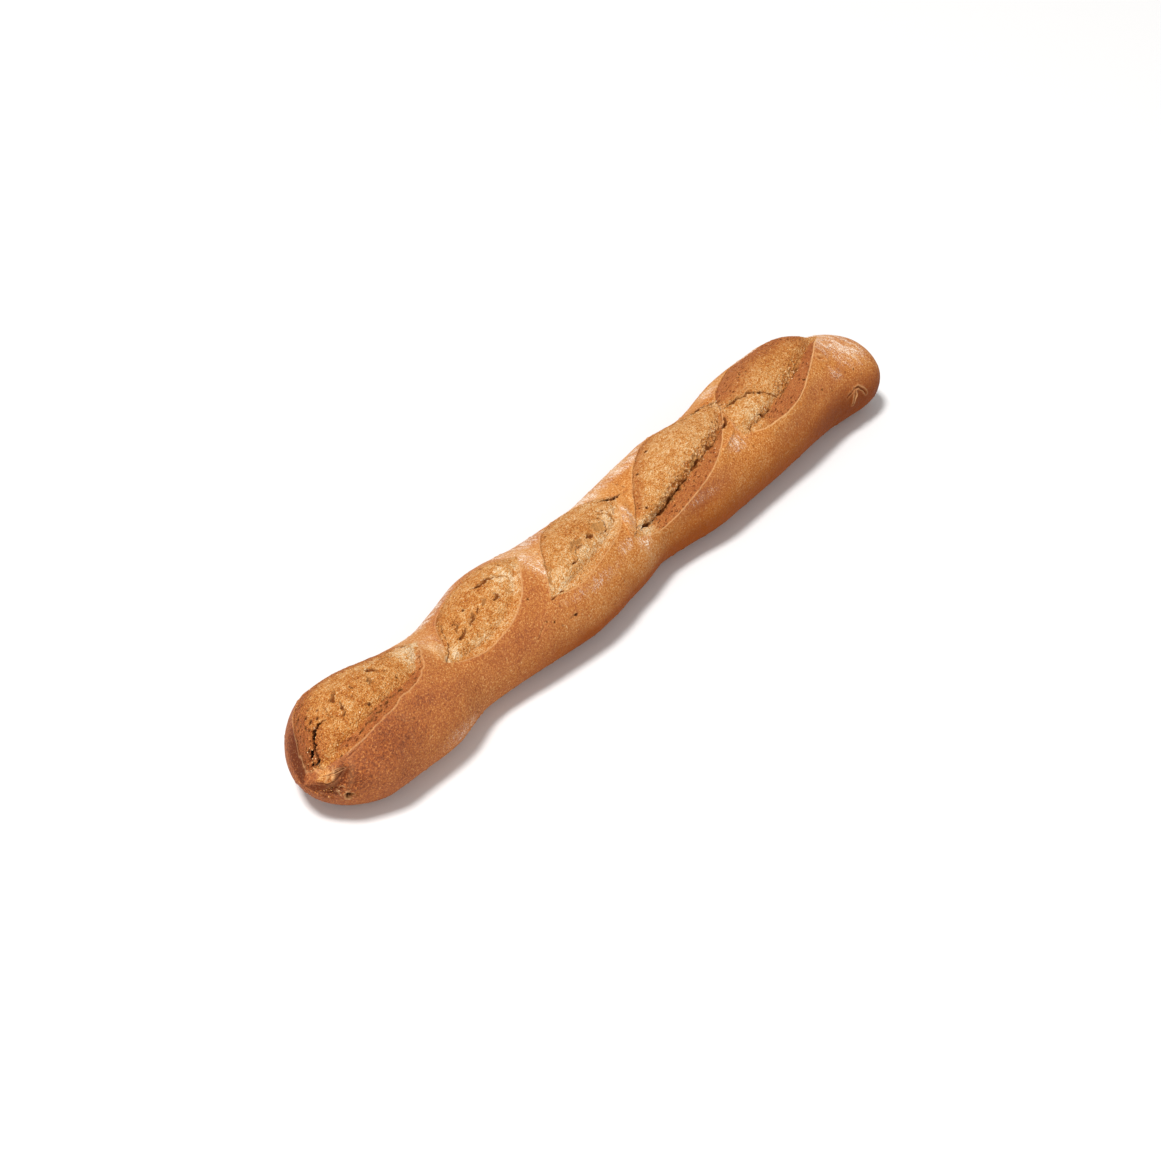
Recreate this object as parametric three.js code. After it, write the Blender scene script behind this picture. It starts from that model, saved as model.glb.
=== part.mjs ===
// A baguette: one baked loaf with five slanting scores along its top.
// Millimetres, +Z up. +X runs along the loaf to its right end, +Y to its back,
// and the flat underside rests on z = 0.
import * as THREE from 'three';
import { mergeVertices } from 'three/addons/utils/BufferGeometryUtils.js';

// ---------- driving dimensions ----------

const LENGTH = 535; // end to end
const HEIGHT_SHARE = 0.74; // height of a section over its width
const WIDEST_SHARE = 0.42; // height of its widest place over its height
const UNDER_SHARE = 1.3; // how far the lower half would bulge below the oven floor
const FLOOR_ROUNDING = 2; // rounding of the edge where the crust meets the oven floor
const LEFT_END = { length: 37, fullness: 1.6 }; // the left end is blunt and a little pointed
const RIGHT_END = { length: 36, fullness: 2.7 }; // the right end is full and round
const ROUND_RADIUS = 37; // places round the crust are millimetres on this radius
const BOX_MIDDLE = 1.3; // how far the middle of the whole width lies behind the body's own line

// Swells and waists: distance from the left end, half width, sway of the middle line to the back.
const BODY = [
  { at: 0, half: 38, sway: -0.5 },
  { at: 24, half: 36.5, sway: 2.5 }, // swell under the first score
  { at: 52, half: 37, sway: 2 },
  { at: 86, half: 34, sway: -1.5 },
  { at: 117, half: 30.5, sway: 1.5 }, // first waist
  { at: 164, half: 36.5, sway: 2 }, // swell under the second and third scores
  { at: 204, half: 36, sway: -3 },
  { at: 256, half: 33, sway: -1 }, // second waist
  { at: 284, half: 32.5, sway: 2.5 },
  { at: 334, half: 37, sway: 0 }, // swell under the fourth score
  { at: 376, half: 36, sway: -1.5 }, // third, shallow waist
  { at: 424, half: 39, sway: 2 }, // swell under the fifth score
  { at: 469, half: 37.5, sway: 2.5 },
  { at: 499, half: 34, sway: -3 },
  { at: 528, half: 31.5, sway: -8.5 },
];

// Each score opened into a leaf of torn crust between a raised front lip and a back edge.
// A place is [distance from the left end, distance round the crust from the crown line,
// with the back positive]. start and end are the leaf's two tips. The torn face falls from
// the lip over the strip into a valley, and a mound rises from there to the back edge.
// strip gives the breadth of that face as [share of the way along the lip, breadth].
const SCORES = [
  {
    start: [6.5, -22], end: [103, 15],
    front: [[24, -23], [52, -18.5], [81, -9]],
    back: [[3.5, -3], [8.5, 20], [26, 35], [59, 32], [88, 27]],
    strip: [[0, 3], [0.2, 7], [0.45, 6.5], [0.7, 4.5], [1, 1]],
    lip: 1.6, valley: 0.9, mound: 2,
  },
  {
    start: [98, -12.5], end: [187, 12],
    front: [[114, -22], [134, -25], [159, -16.5]],
    back: [[108, -4], [123, 18], [146, 27.5], [172, 23]],
    strip: [[0, 1], [0.3, 5], [0.7, 5], [1, 1]],
    lip: 1.4, valley: 0.6, mound: 2.4,
  },
  {
    start: [176, -25], end: [274, 5],
    front: [[194, -26.5], [224, -21.5], [252, -14]],
    back: [[187, -9], [204, 11], [226, 27], [250, 33]],
    strip: [[0, 1], [0.3, 5], [0.7, 5], [1, 1]],
    lip: 1.4, valley: 0.6, mound: 2.4,
  },
  {
    start: [255, -26], end: [393, 13],
    front: [[278, -36], [309, -32], [349, -17.5]],
    back: [[273, -13], [300, 11], [336, 31], [364, 29.5], [380, 24]],
    strip: [[0, 2], [0.15, 7], [0.35, 9.5], [0.5, 11], [0.68, 9.5], [0.78, 5], [0.86, 1]],
    lip: 2, valley: 2.6, mound: 3,
  },
  {
    start: [375, -18], end: [507, 15],
    front: [[397, -26], [429, -26.5], [469, -11]],
    back: [[376, -8], [383, 6], [398, 19], [414, 24.5], [440, 30.5], [479, 24]],
    strip: [[0, 2], [0.25, 7], [0.4, 11], [0.55, 10.5], [0.7, 6.5], [0.85, 3.5], [1, 1]],
    lip: 2, valley: 2.2, mound: 3,
  },
];

// Open cracks in the torn crust: the places they run through, their half width and depth.
const CRACKS = [
  { through: [[21, 2], [16, 4.5], [11.5, 1.5], [9, -5]], half: 2.2, deep: 3 }, // round the left end
  { through: [[30, -4], [34, 4], [40, 9]], half: 2, deep: 1.4 }, // first score
  { through: [[52, -1], [61, 7], [76, 12], [92, 16]], half: 2.2, deep: 1.8 },
  { through: [[123, -5], [134, -4], [146, -4]], half: 2.2, deep: 1.8 }, // second score
  { through: [[146, -5], [155, 7], [165, 3]], half: 2.2, deep: 1.8 },
  { through: [[203, -14], [214, -6.5], [228, -7]], half: 2.2, deep: 1.8 }, // third score
  { through: [[228, -7], [242, -6], [256, -3]], half: 2.2, deep: 1.8 },
  { through: [[254, 20], [264, 12], [276, 3]], half: 2, deep: 1.6 },
  { through: [[357, 22], [374, 20], [390, 16]], half: 2, deep: 1.6 }, // behind the fourth score
  { through: [[385, 4], [398, -1], [409, -6], [420, -17]], half: 2.2, deep: 1.8 }, // fifth score
];

// Tongues of smooth crust left standing between two scores.
const TONGUES = [
  { through: [[97, -10], [103, -1], [112, 8]], half: 4.5, high: 0.8 },
  { through: [[256, -23], [263, -12], [275, 2]], half: 4.5, high: 1.8 },
  { through: [[374, -6], [381, -12], [390, -20]], half: 4, high: 0.9 },
];

// Broad swells, and the burst bubble below the left end: the middle as [distance from the
// left end, distance round the crust], the reach both ways and the height.
const SWELLS = [
  { middle: [474, 24], reach: [29, 26], high: 2.5 }, // behind the last score
  { middle: [6, -30], reach: [5, 13], high: 0.8 }, // the knob where the left end was sealed
  { middle: [11, -61], reach: [3.2, 8], high: -2.5 }, // the burst bubble
];

const LIP_OUTER_SLOPE = 6; // the crust rises to a lip over this distance
const LIP_EDGE = 1.6; // breadth of the lip's sharp edge
const LIP_EDGE_FALL = 0.35; // share of the torn face's fall that is at that edge
const VALLEY_SLOPE = 3.4; // the mound rises out of the valley over this distance
const BACK_STEP = 0.8; // depth of the small step at a leaf's back edge
const BACK_STEP_SLOPE = 1.8;
const TIP_WIDTH = 4; // a leaf narrower than this has no relief
const FULL_WIDTH = 22; // and one wider than this has all of it
const MOUND_FRONT = 0.8; // below 1 the mound is highest nearer the valley

const RINGS = 112;
const COLUMNS = 52;
const END_CROWDING = 0.4; // share of the rings that crowd towards the two ends
const UNDERSIDE_STARTS = -0.3; // cosine of the angle from the crown where the underside starts
const UNDERSIDE_COLUMNS = 0.4; // how closely columns stand there, against 1 on the top

const CRUST_COLOUR = 0xb97a45;

// ---------- small curves ----------

const clamp01 = (value) => Math.min(1, Math.max(0, value));

function smooth(low, high, value) {
  const share = clamp01((value - low) / (high - low));
  return share * share * (3 - 2 * share);
}

const bell = (distance, width) => Math.exp(-((distance / width) ** 2));

/** A smooth curve of one measure of BODY, at a distance from the left end. */
function bodyMeasure(key, at) {
  const last = BODY.length - 1;
  const slope = (k) => {
    const before = BODY[Math.max(k - 1, 0)];
    const after = BODY[Math.min(k + 1, last)];
    return (after[key] - before[key]) / (after.at - before.at);
  };
  let k = 0;
  while (k < last - 1 && at > BODY[k + 1].at) {
    k += 1;
  }
  const span = BODY[k + 1].at - BODY[k].at;
  const u = (at - BODY[k].at) / span;
  return BODY[k][key] * (1 + 2 * u) * (1 - u) ** 2
    + span * slope(k) * u * (1 - u) ** 2
    + BODY[k + 1][key] * u * u * (3 - 2 * u)
    + span * slope(k + 1) * u * u * (u - 1);
}

const curveThrough = (places, steps) =>
  new THREE.SplineCurve(places.map(([at, round]) => new THREE.Vector2(at, round))).getPoints(steps);

/** How far a place is from a curve, and the share of the way along it of the nearest point. */
function nearestOn(curve, at, round) {
  let distance = Infinity;
  let along = 0;
  for (let k = 0; k + 1 < curve.length; k += 1) {
    const { x, y } = curve[k];
    const dx = curve[k + 1].x - x;
    const dy = curve[k + 1].y - y;
    const share = clamp01(((at - x) * dx + (round - y) * dy) / (dx * dx + dy * dy));
    const away = Math.hypot(at - x - share * dx, round - y - share * dy);
    if (away < distance) {
      distance = away;
      along = (k + share) / (curve.length - 1);
    }
  }
  return { distance, along };
}

/** The value at a place in a list of [place, value] pairs, straight between two of them. */
function valueAt(pairs, place) {
  const next = pairs.findIndex(([pairPlace]) => pairPlace > place);
  if (next === -1) {
    return pairs[pairs.length - 1][1];
  }
  const [from, before] = pairs[next - 1];
  const [to, after] = pairs[next];
  return before + ((after - before) * (place - from)) / (to - from);
}

function isInside(outline, at, round) {
  let inside = false;
  outline.forEach((corner, k) => {
    const next = outline[(k + 1) % outline.length];
    if (corner.y > round !== next.y > round) {
      const crossing = corner.x + ((next.x - corner.x) * (round - corner.y)) / (next.y - corner.y);
      inside = at < crossing ? !inside : inside;
    }
  });
  return inside;
}

// ---------- the leaves and their relief ----------

const EDGE_STEPS = 32;
const NEAR = 16; // beyond this distance from its outline a leaf changes nothing

const leaves = SCORES.map((score) => {
  const front = curveThrough([score.start, ...score.front, score.end], EDGE_STEPS);
  const back = curveThrough([score.start, ...score.back, score.end], EDGE_STEPS);
  const outline = [...front, ...back.slice(1, -1).reverse()];
  const box = new THREE.Box2().setFromPoints(outline).expandByScalar(NEAR);
  return { ...score, front, back, outline, box };
});

const CURVE_STEPS = 8;
const withCurve = (line) => ({ ...line, curve: curveThrough(line.through, CURVE_STEPS) });
const cracks = CRACKS.map(withCurve);
const tongues = TONGUES.map(withCurve);

/** Where a place lies in a leaf: its distances from both edges, how open the leaf is there
 * and how far from the lip its valley runs. */
function placeInLeaf(leaf, at, round) {
  const { distance: toFront, along } = nearestOn(leaf.front, at, round);
  const toBack = nearestOn(leaf.back, at, round).distance;
  const inside = isInside(leaf.outline, at, round);
  const width = inside ? toFront + toBack : Math.abs(toFront - toBack);
  const open = smooth(TIP_WIDTH, FULL_WIDTH, width);
  return { toFront, toBack, inside, width, open, valleyPlace: valueAt(leaf.strip, along) };
}

function leafRelief(leaf, at, round) {
  const { toFront, toBack, inside, width, open, valleyPlace } = placeInLeaf(leaf, at, round);
  const step = BACK_STEP * bell(toBack, BACK_STEP_SLOPE);
  if (!inside) {
    return open * (toFront < toBack ? leaf.lip * bell(toFront, LIP_OUTER_SLOPE) : -step);
  }
  if (toFront < valleyPlace) {
    const atEdge = LIP_EDGE_FALL * clamp01(toFront / LIP_EDGE);
    const overStrip = (1 - LIP_EDGE_FALL) * (toFront / valleyPlace);
    return open * (leaf.lip - (leaf.lip + leaf.valley) * (atEdge + overStrip) - step);
  }
  const valley = leaf.valley * bell(toFront - valleyPlace, VALLEY_SLOPE);
  const across = clamp01((toFront - valleyPlace) / (width - valleyPlace));
  const mound = leaf.mound * Math.sin(Math.PI * across ** MOUND_FRONT);
  return open * (mound - valley - step);
}

function relief(at, round) {
  let height = 0;
  const place = new THREE.Vector2(at, round);
  for (const leaf of leaves) {
    height += leaf.box.containsPoint(place) ? leafRelief(leaf, at, round) : 0;
  }
  for (const crack of cracks) {
    height -= crack.deep * bell(nearestOn(crack.curve, at, round).distance, crack.half);
  }
  for (const tongue of tongues) {
    height += tongue.high * bell(nearestOn(tongue.curve, at, round).distance, tongue.half);
  }
  for (const { middle, reach, high } of SWELLS) {
    const away = Math.hypot((at - middle[0]) / reach[0], (round - middle[1]) / reach[1]);
    height += high * smooth(1, 0, away);
  }
  return height;
}

// ---------- the smooth loaf ----------

function endShare(distance, end) {
  return (1 - (1 - clamp01(distance / end.length)) ** end.fullness) ** (1 / end.fullness);
}

/** The point of the unscored loaf at a distance from the left end and an angle from the crown. */
function loafPoint(at, angle) {
  const half = bodyMeasure('half', at);
  const size = endShare(at, LEFT_END) * endShare(LENGTH - at, RIGHT_END);
  const height = 2 * half * HEIGHT_SHARE;
  const widest = WIDEST_SHARE * height;
  const reach = Math.cos(angle) > 0 ? height - widest : UNDER_SHARE * widest;
  const z = widest + reach * size * Math.cos(angle);
  const y = bodyMeasure('sway', at) + half * size * Math.sin(angle);
  return new THREE.Vector3(at - LENGTH / 2, y - BOX_MIDDLE, onFloor(z));
}

/** Presses what would lie below the oven floor flat onto it, with a rounded edge. */
function onFloor(z) {
  if (z > FLOOR_ROUNDING) {
    return z;
  }
  return z < -FLOOR_ROUNDING ? 0 : (z + FLOOR_ROUNDING) ** 2 / (4 * FLOOR_ROUNDING);
}

function outwardNormal(at, angle) {
  const stride = 0.5;
  const turn = stride / ROUND_RADIUS;
  const along = loafPoint(Math.min(at + stride, LENGTH), angle)
    .sub(loafPoint(Math.max(at - stride, 0), angle));
  const around = loafPoint(at, angle + turn).sub(loafPoint(at, angle - turn));
  return along.cross(around).normalize();
}

function crustPoint(at, angle) {
  const point = loafPoint(at, angle);
  const height = relief(at, angle * ROUND_RADIUS);
  if (height !== 0) {
    point.addScaledVector(outwardNormal(at, angle), height);
    point.z = Math.max(point.z, 0);
  }
  return point;
}

// ---------- the mesh: rings of points, crowded where the crust is folded ----------

const SAMPLES = 240;
const EVENING_STEPS = [-8, -4, 0, 4, 8]; // the crowding is evened out over these steps along the lips
const LIP_SLANT = 0.27; // how far a lip climbs round the crust for each millimetre along it
const LIP_CROWDING = 2.6; // how much closer columns stand at a lip, and how far that reaches
const LIP_CROWDING_WIDTH = 3.5;
const VALLEY_CROWDING = 0.9;
const VALLEY_CROWDING_WIDTH = 5;
const BACK_CROWDING = 0.8;
const BACK_CROWDING_WIDTH = 3;

/** How closely the columns would stand at a place: closest along lips, valleys and back edges. */
function crowdingAt(at, round) {
  const place = new THREE.Vector2(at, round);
  let amount = 0;
  for (const leaf of leaves.filter(({ box }) => box.containsPoint(place))) {
    const { toFront, toBack, open, valleyPlace } = placeInLeaf(leaf, at, round);
    const atLip = LIP_CROWDING * bell(toFront, LIP_CROWDING_WIDTH);
    const inValley = VALLEY_CROWDING * bell(toFront - valleyPlace, VALLEY_CROWDING_WIDTH);
    const atBack = BACK_CROWDING * bell(toBack, BACK_CROWDING_WIDTH);
    amount += open * (atLip + inValley + atBack);
  }
  return amount;
}

function crowding(at, angle) {
  const round = angle * ROUND_RADIUS;
  let sum = 0;
  for (const step of EVENING_STEPS) {
    sum += crowdingAt(at + step, round + LIP_SLANT * step);
  }
  return (Math.cos(angle) > UNDERSIDE_STARTS ? 1 : UNDERSIDE_COLUMNS) + sum / EVENING_STEPS.length;
}

/** The angles of one ring's points, from the middle of the underside round to it again. */
function ringAngles(at) {
  const sums = [0];
  for (let k = 0; k < SAMPLES; k += 1) {
    const angle = -Math.PI + ((k + 0.5) / SAMPLES) * 2 * Math.PI;
    sums.push(sums[k] + crowding(at, angle));
  }
  const angles = [];
  let k = 0;
  for (let column = 0; column < COLUMNS; column += 1) {
    const wanted = (column / COLUMNS) * sums[SAMPLES];
    while (sums[k + 1] < wanted) {
      k += 1;
    }
    const share = (wanted - sums[k]) / (sums[k + 1] - sums[k]);
    angles.push(-Math.PI + ((k + share) / SAMPLES) * 2 * Math.PI);
  }
  return angles;
}

function ringPlace(ring) {
  const share = ring / (RINGS + 1);
  const crowded = (1 - Math.cos(Math.PI * share)) / 2;
  return LENGTH * (END_CROWDING * crowded + (1 - END_CROWDING) * share);
}

function loafGeometry() {
  const points = [loafPoint(0, 0)];
  for (let ring = 1; ring <= RINGS; ring += 1) {
    const at = ringPlace(ring);
    points.push(...ringAngles(at).map((angle) => crustPoint(at, angle)));
  }
  points.push(loafPoint(LENGTH, 0));

  const number = (ring, column) => 1 + ring * COLUMNS + (column % COLUMNS);
  const faces = [];
  for (let column = 0; column < COLUMNS; column += 1) {
    faces.push(0, number(0, column), number(0, column + 1));
    faces.push(points.length - 1, number(RINGS - 1, column + 1), number(RINGS - 1, column));
    for (let ring = 0; ring + 1 < RINGS; ring += 1) {
      const [a, b] = [number(ring, column), number(ring, column + 1)];
      const [c, d] = [number(ring + 1, column), number(ring + 1, column + 1)];
      faces.push(a, c, d, a, d, b);
    }
  }
  const geometry = new THREE.BufferGeometry().setFromPoints(points);
  geometry.setIndex(faces);
  return mergeVertices(geometry);
}

// ---------- the object ----------

const crust = new THREE.MeshStandardMaterial({ color: CRUST_COLOUR, roughness: 0.75, metalness: 0 });
const loaf = new THREE.Mesh(loafGeometry(), crust);
loaf.name = 'loaf';

const group = new THREE.Group();
group.add(loaf);

export default group;
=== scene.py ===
# %% [markdown]
# # A baguette, from oven floor to crust
# The real thing is one long roll of dough, slashed five times with a blade and baked on a
# hot floor. Each slash opened into a leaf of torn, golden crumb between a raised front lip
# and a low back edge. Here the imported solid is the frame: it says where the loaf lies and
# how big it is. The loaf shown in its place is a far finer mesh of the same form.
# All the sizes below are millimetres, and they become metres when a mesh is made.

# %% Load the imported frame
import math
from types import SimpleNamespace

import bpy
import numpy as np
from mathutils import Matrix, Vector


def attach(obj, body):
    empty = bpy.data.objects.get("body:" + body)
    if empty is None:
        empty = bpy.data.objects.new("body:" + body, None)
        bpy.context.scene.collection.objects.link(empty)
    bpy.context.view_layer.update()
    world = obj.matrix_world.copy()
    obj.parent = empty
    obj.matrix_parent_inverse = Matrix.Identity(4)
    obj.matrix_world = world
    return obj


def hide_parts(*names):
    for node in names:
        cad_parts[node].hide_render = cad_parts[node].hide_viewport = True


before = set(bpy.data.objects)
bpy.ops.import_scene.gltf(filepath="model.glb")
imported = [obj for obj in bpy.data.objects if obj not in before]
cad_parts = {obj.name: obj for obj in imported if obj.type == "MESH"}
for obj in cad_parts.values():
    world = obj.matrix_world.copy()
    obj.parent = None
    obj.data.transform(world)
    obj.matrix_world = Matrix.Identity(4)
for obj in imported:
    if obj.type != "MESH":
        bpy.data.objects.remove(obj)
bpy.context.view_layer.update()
MM = 0.001

# %% [markdown]
# ## The camera
# The loaf is seen from above its left front, by a lens of about 59 mm, held four degrees
# off level. A camera can be turned by hand until it looks right, but a heading, a height
# and a roll are three numbers that anyone can read, so the turn is built from those.

# %% Camera
CAMERA_PLACE = (-747.8, -495.2, 735.5)
CAMERA_HEADING = 34.6  # degrees from +X towards +Y
CAMERA_DOWN = 39.84  # degrees below the horizon
CAMERA_ROLL = 4.0
LENS, SENSOR_WIDTH = 59.4, 36
NEAREST, FARTHEST = 0.05, 30  # metres that the camera sees


def add_object(name, data):
    """A new object in the scene."""
    thing = bpy.data.objects.new(name, data)
    bpy.context.scene.collection.objects.link(thing)
    return thing


def add_camera():
    """A camera at the chosen place, heading, downward tilt and roll."""
    data = bpy.data.cameras.new("camera")
    data.lens, data.sensor_width, data.sensor_fit = LENS, SENSOR_WIDTH, "HORIZONTAL"
    data.clip_start, data.clip_end = NEAREST, FARTHEST
    camera = add_object("camera", data)
    turn = Matrix.Rotation(math.radians(CAMERA_HEADING - 90), 4, "Z")
    tilt = Matrix.Rotation(math.radians(90 - CAMERA_DOWN), 4, "X")
    roll = Matrix.Rotation(math.radians(CAMERA_ROLL), 4, "Z")
    camera.matrix_world = Matrix.Translation(Vector(CAMERA_PLACE) * MM) @ turn @ tilt @ roll
    bpy.context.scene.camera = camera
    return camera


camera = add_camera()
print("camera at", [round(value, 3) for value in camera.location])

# %% [markdown]
# ## The smooth loaf
# Before the blade touches it, a baguette is a roll that swells and narrows a little along
# its length. It could be sculpted, but a rule is easier to check: every cross-section is a
# flattened circle, a little wider than high, pressed flat on the oven floor. A short table
# of swells and waists gives its half width, and how far its middle sways to the back.

# %% Sizes of the loaf
LENGTH = 535
HEIGHT_SHARE = 0.74  # height of a section over its width
WIDEST_SHARE = 0.42  # height of its widest place over its height
UNDER_SHARE = 1.3  # how far the lower half would bulge below the oven floor
FLOOR_ROUNDING = 2
ROUND_RADIUS = 37  # places round the crust are millimetres on this radius
BOX_MIDDLE = 1.3  # how far the middle of the whole width lies behind the body's own line
LEFT_END = {"length": 37, "fullness": 1.6}
RIGHT_END = {"length": 36, "fullness": 2.7}

# Distance from the left end, half width, sway of the middle line to the back.
BODY = np.array([
    (0, 38, -0.5), (24, 36.5, 2.5), (52, 37, 2), (86, 34, -1.5),
    (117, 30.5, 1.5),  # first waist
    (164, 36.5, 2), (204, 36, -3),
    (256, 33, -1), (284, 32.5, 2.5),  # second waist
    (334, 37, 0),
    (376, 36, -1.5),  # third, shallow waist
    (424, 39, 2), (469, 37.5, 2.5), (499, 34, -3), (528, 31.5, -8.5),
])

# %% [markdown]
# A smooth curve through those places is worked out span by span. Each span is a cubic that
# leaves a place at the slope of the line between its two neighbours, so the loaf has no
# kinks where two spans meet.

# %% Curves


def smooth(low, high, value):
    """0 below low, 1 above high, and an easy slope between."""
    share = np.clip((value - low) / (high - low), 0, 1)
    return share * share * (3 - 2 * share)


def bell(distance, width):
    """1 at no distance, falling smoothly to nothing."""
    return np.exp(-((distance / width) ** 2))


def body_measure(column, at):
    """Half width (column 1) or sway (column 2) of the loaf at distances from its left end."""
    places, values = BODY[:, 0], BODY[:, column]
    slopes = np.gradient(values)
    slopes[1:-1] = (values[2:] - values[:-2]) / (places[2:] - places[:-2])
    slopes[0] /= places[1] - places[0]
    slopes[-1] /= places[-1] - places[-2]
    k = np.clip(np.searchsorted(places, at) - 1, 0, len(places) - 2)
    span = places[k + 1] - places[k]
    u = (at - places[k]) / span
    return (values[k] * (1 + 2 * u) * (1 - u) ** 2 + span * slopes[k] * u * (1 - u) ** 2
            + values[k + 1] * u * u * (3 - 2 * u) + span * slopes[k + 1] * u * u * (u - 1))


# %% [markdown]
# The two ends are rounded off by a share that grows from 0 at the tip to 1 where the end cap
# stops. The fuller an end is, the blunter it looks: the right one is the blunter.

# %% End caps and the smooth loaf


def end_share(distance, end):
    """How full a section is, from 0 at the very end to 1 where the end cap stops."""
    left = 1 - np.clip(distance / end["length"], 0, 1)
    return (1 - left ** end["fullness"]) ** (1 / end["fullness"])


def loaf_points(at, angle):
    """Points of the unscored loaf, at distances from the left end and angles from the crown."""
    half = body_measure(1, at)
    size = end_share(at, LEFT_END) * end_share(LENGTH - at, RIGHT_END)
    height = 2 * half * HEIGHT_SHARE
    widest = WIDEST_SHARE * height
    reach = np.where(np.cos(angle) > 0, height - widest, UNDER_SHARE * widest)
    z = widest + reach * size * np.cos(angle)
    rounded = (z + FLOOR_ROUNDING) ** 2 / (4 * FLOOR_ROUNDING)
    z = np.where(z > FLOOR_ROUNDING, z, np.where(z < -FLOOR_ROUNDING, 0, rounded))
    y = body_measure(2, at) + half * size * np.sin(angle) - BOX_MIDDLE
    return np.stack([at - LENGTH / 2 + 0 * angle, y, z], axis=-1)


print("widest half width, mm:", round(float(body_measure(1, np.arange(LENGTH)).max()), 1))

# %% [markdown]
# ## The five leaves
# A blade held flat makes a flap, and the loaf's spring tears it open into a leaf. A leaf
# has two tips and two edges: the front edge curls up into the lip that bakers call the ear,
# and the back edge is a low step. Each edge is a smooth curve through a few places, given
# as the distance from the left end and the distance round the crust from the crown line.
# The torn face falls from the lip over a strip, and the deep leaves have a valley there.

# %% The leaves' outlines and depths
# For each leaf: its two tips and its edges, the height of its lip and mound, the depth of its
# valley, how ragged its edges are, and how broad its torn face is along it. Then how deep the
# face browned and from where along it, the same for the back edge and how broad that band is,
# how strong the pale line along the lip is and from where, and the crack at the foot of the
# face: half width, depth, from, to.
SCORES = [
    {"start": (6.5, -22), "end": (103, 15),
     "front": [(24, -23), (52, -18.5), (81, -9)],
     "back": [(3.5, -3), (8.5, 20), (26, 35), (59, 32), (88, 27)],
     "lip": 1.6, "mound": 2, "valley": 0.9, "ragged": 0.8,
     "strip": [(0, 3), (0.2, 7), (0.45, 6.5), (0.7, 4.5), (1, 1)],
     "brown_face": (0.75, 0.12), "brown_back": (0.8, -1, 15), "line": (0.65, 0.14),
     "crack": None},
    {"start": (98, -12.5), "end": (187, 12),
     "front": [(114, -22), (134, -25), (159, -16.5)],
     "back": [(108, -4), (123, 18), (146, 27.5), (172, 23)],
     "lip": 1.4, "mound": 2.4, "valley": 0.6, "ragged": 0.2,
     "strip": [(0, 1), (0.3, 5), (0.7, 5), (1, 1)],
     "brown_face": (0.1, 0.1), "brown_back": (0.1, -1, 5), "line": (0.8, 0),
     "crack": None},
    {"start": (176, -25), "end": (274, 5),
     "front": [(194, -26.5), (224, -21.5), (252, -14)],
     "back": [(187, -9), (204, 11), (226, 27), (250, 33)],
     "lip": 1.4, "mound": 2.4, "valley": 0.6, "ragged": 0.2,
     "strip": [(0, 1), (0.3, 5), (0.7, 5), (1, 1)],
     "brown_face": (0.1, 0.1), "brown_back": (0.15, -1, 4), "line": (0.7, 0),
     "crack": None},
    {"start": (255, -26), "end": (393, 13),
     "front": [(278, -36), (309, -32), (349, -17.5)],
     "back": [(273, -13), (300, 11), (336, 31), (364, 29.5), (380, 24)],
     "lip": 2.0, "mound": 3, "valley": 2.2, "ragged": 0.3,
     "strip": [(0, 2), (0.15, 7), (0.35, 9.5), (0.5, 11), (0.68, 9.5), (0.78, 5), (0.86, 0.4)],
     "brown_face": (0.75, 0.24), "brown_back": (0.45, -1, 8), "line": (0.9, 0),
     "crack": (0.9, 1.5, 0.08, 0.88)},
    {"start": (375, -18), "end": (507, 15),
     "front": [(397, -26), (429, -26.5), (469, -11)],
     "back": [(376, -8), (383, 6), (398, 19), (414, 24.5), (440, 30.5), (479, 24)],
     "lip": 2.0, "mound": 3, "valley": 1.8, "ragged": 0.3,
     "strip": [(0, 2), (0.25, 7), (0.4, 11), (0.55, 10.5), (0.7, 6.5), (0.85, 3.5), (1, 1)],
     "brown_face": (0.9, 0.26), "brown_back": (0.9, 0.34, 24), "line": (1.2, 0),
     "crack": (0.6, 1.0, 0.42, 0.74)},
]
LIP_OUTER_SLOPE = 8  # how far the crust outside swells up towards the lip
LIP_EDGE, LIP_EDGE_FALL = 1.2, 0.3  # the lip's own edge, and its share of the whole fall
LIP_RIM, LIP_RIM_WIDTH = 0.25, 0.7  # a thin curl of crust along the very edge of the lip
VALLEY_SLOPE = 3.4  # how far the valley's hollow reaches back
MOUND_FRONT = 0.8  # below 1, the mound's top lies nearer the front
BACK_STEP, BACK_STEP_SLOPE = 0.6, 1.8  # the low step at the back edge
BACK_RIM, BACK_RIM_AWAY = 0.3, 0.8  # the slight rim outside it
TIP_WIDTH, FULL_WIDTH = 4, 22  # a leaf narrower than the first is shut, than the second open
FACE_FADE = 0.06  # browning and cracks come and go over this share of a leaf's length
EDGE_STEPS = 48
print("leaves, mm long:", [score["end"][0] - score["start"][0] for score in SCORES])

# %% [markdown]
# An edge is a smooth curve, but what a place on the crust has to know is how far it is from
# that curve, and whether it lies inside the leaf. Both are worked out on the short straight
# pieces that the curve is cut into.

# %% Curves on the crust


def curve_through(places, steps):
    """A smooth curve through places, each span leaving at its neighbours' slope."""
    points = np.array(places, float)
    last = len(points) - 1
    t = np.linspace(0, last, steps + 1)
    k = np.minimum(t.astype(int), last - 1)
    u = (t - k)[:, None]
    before, here = points[np.maximum(k - 1, 0)], points[k]
    there, after = points[k + 1], points[np.minimum(k + 2, last)]
    v0, v1 = (there - before) / 2, (after - here) / 2
    return ((2 * here - 2 * there + v0 + v1) * u ** 3
            + (3 * there - 3 * here - 2 * v0 - v1) * u ** 2 + v0 * u + here)


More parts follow.
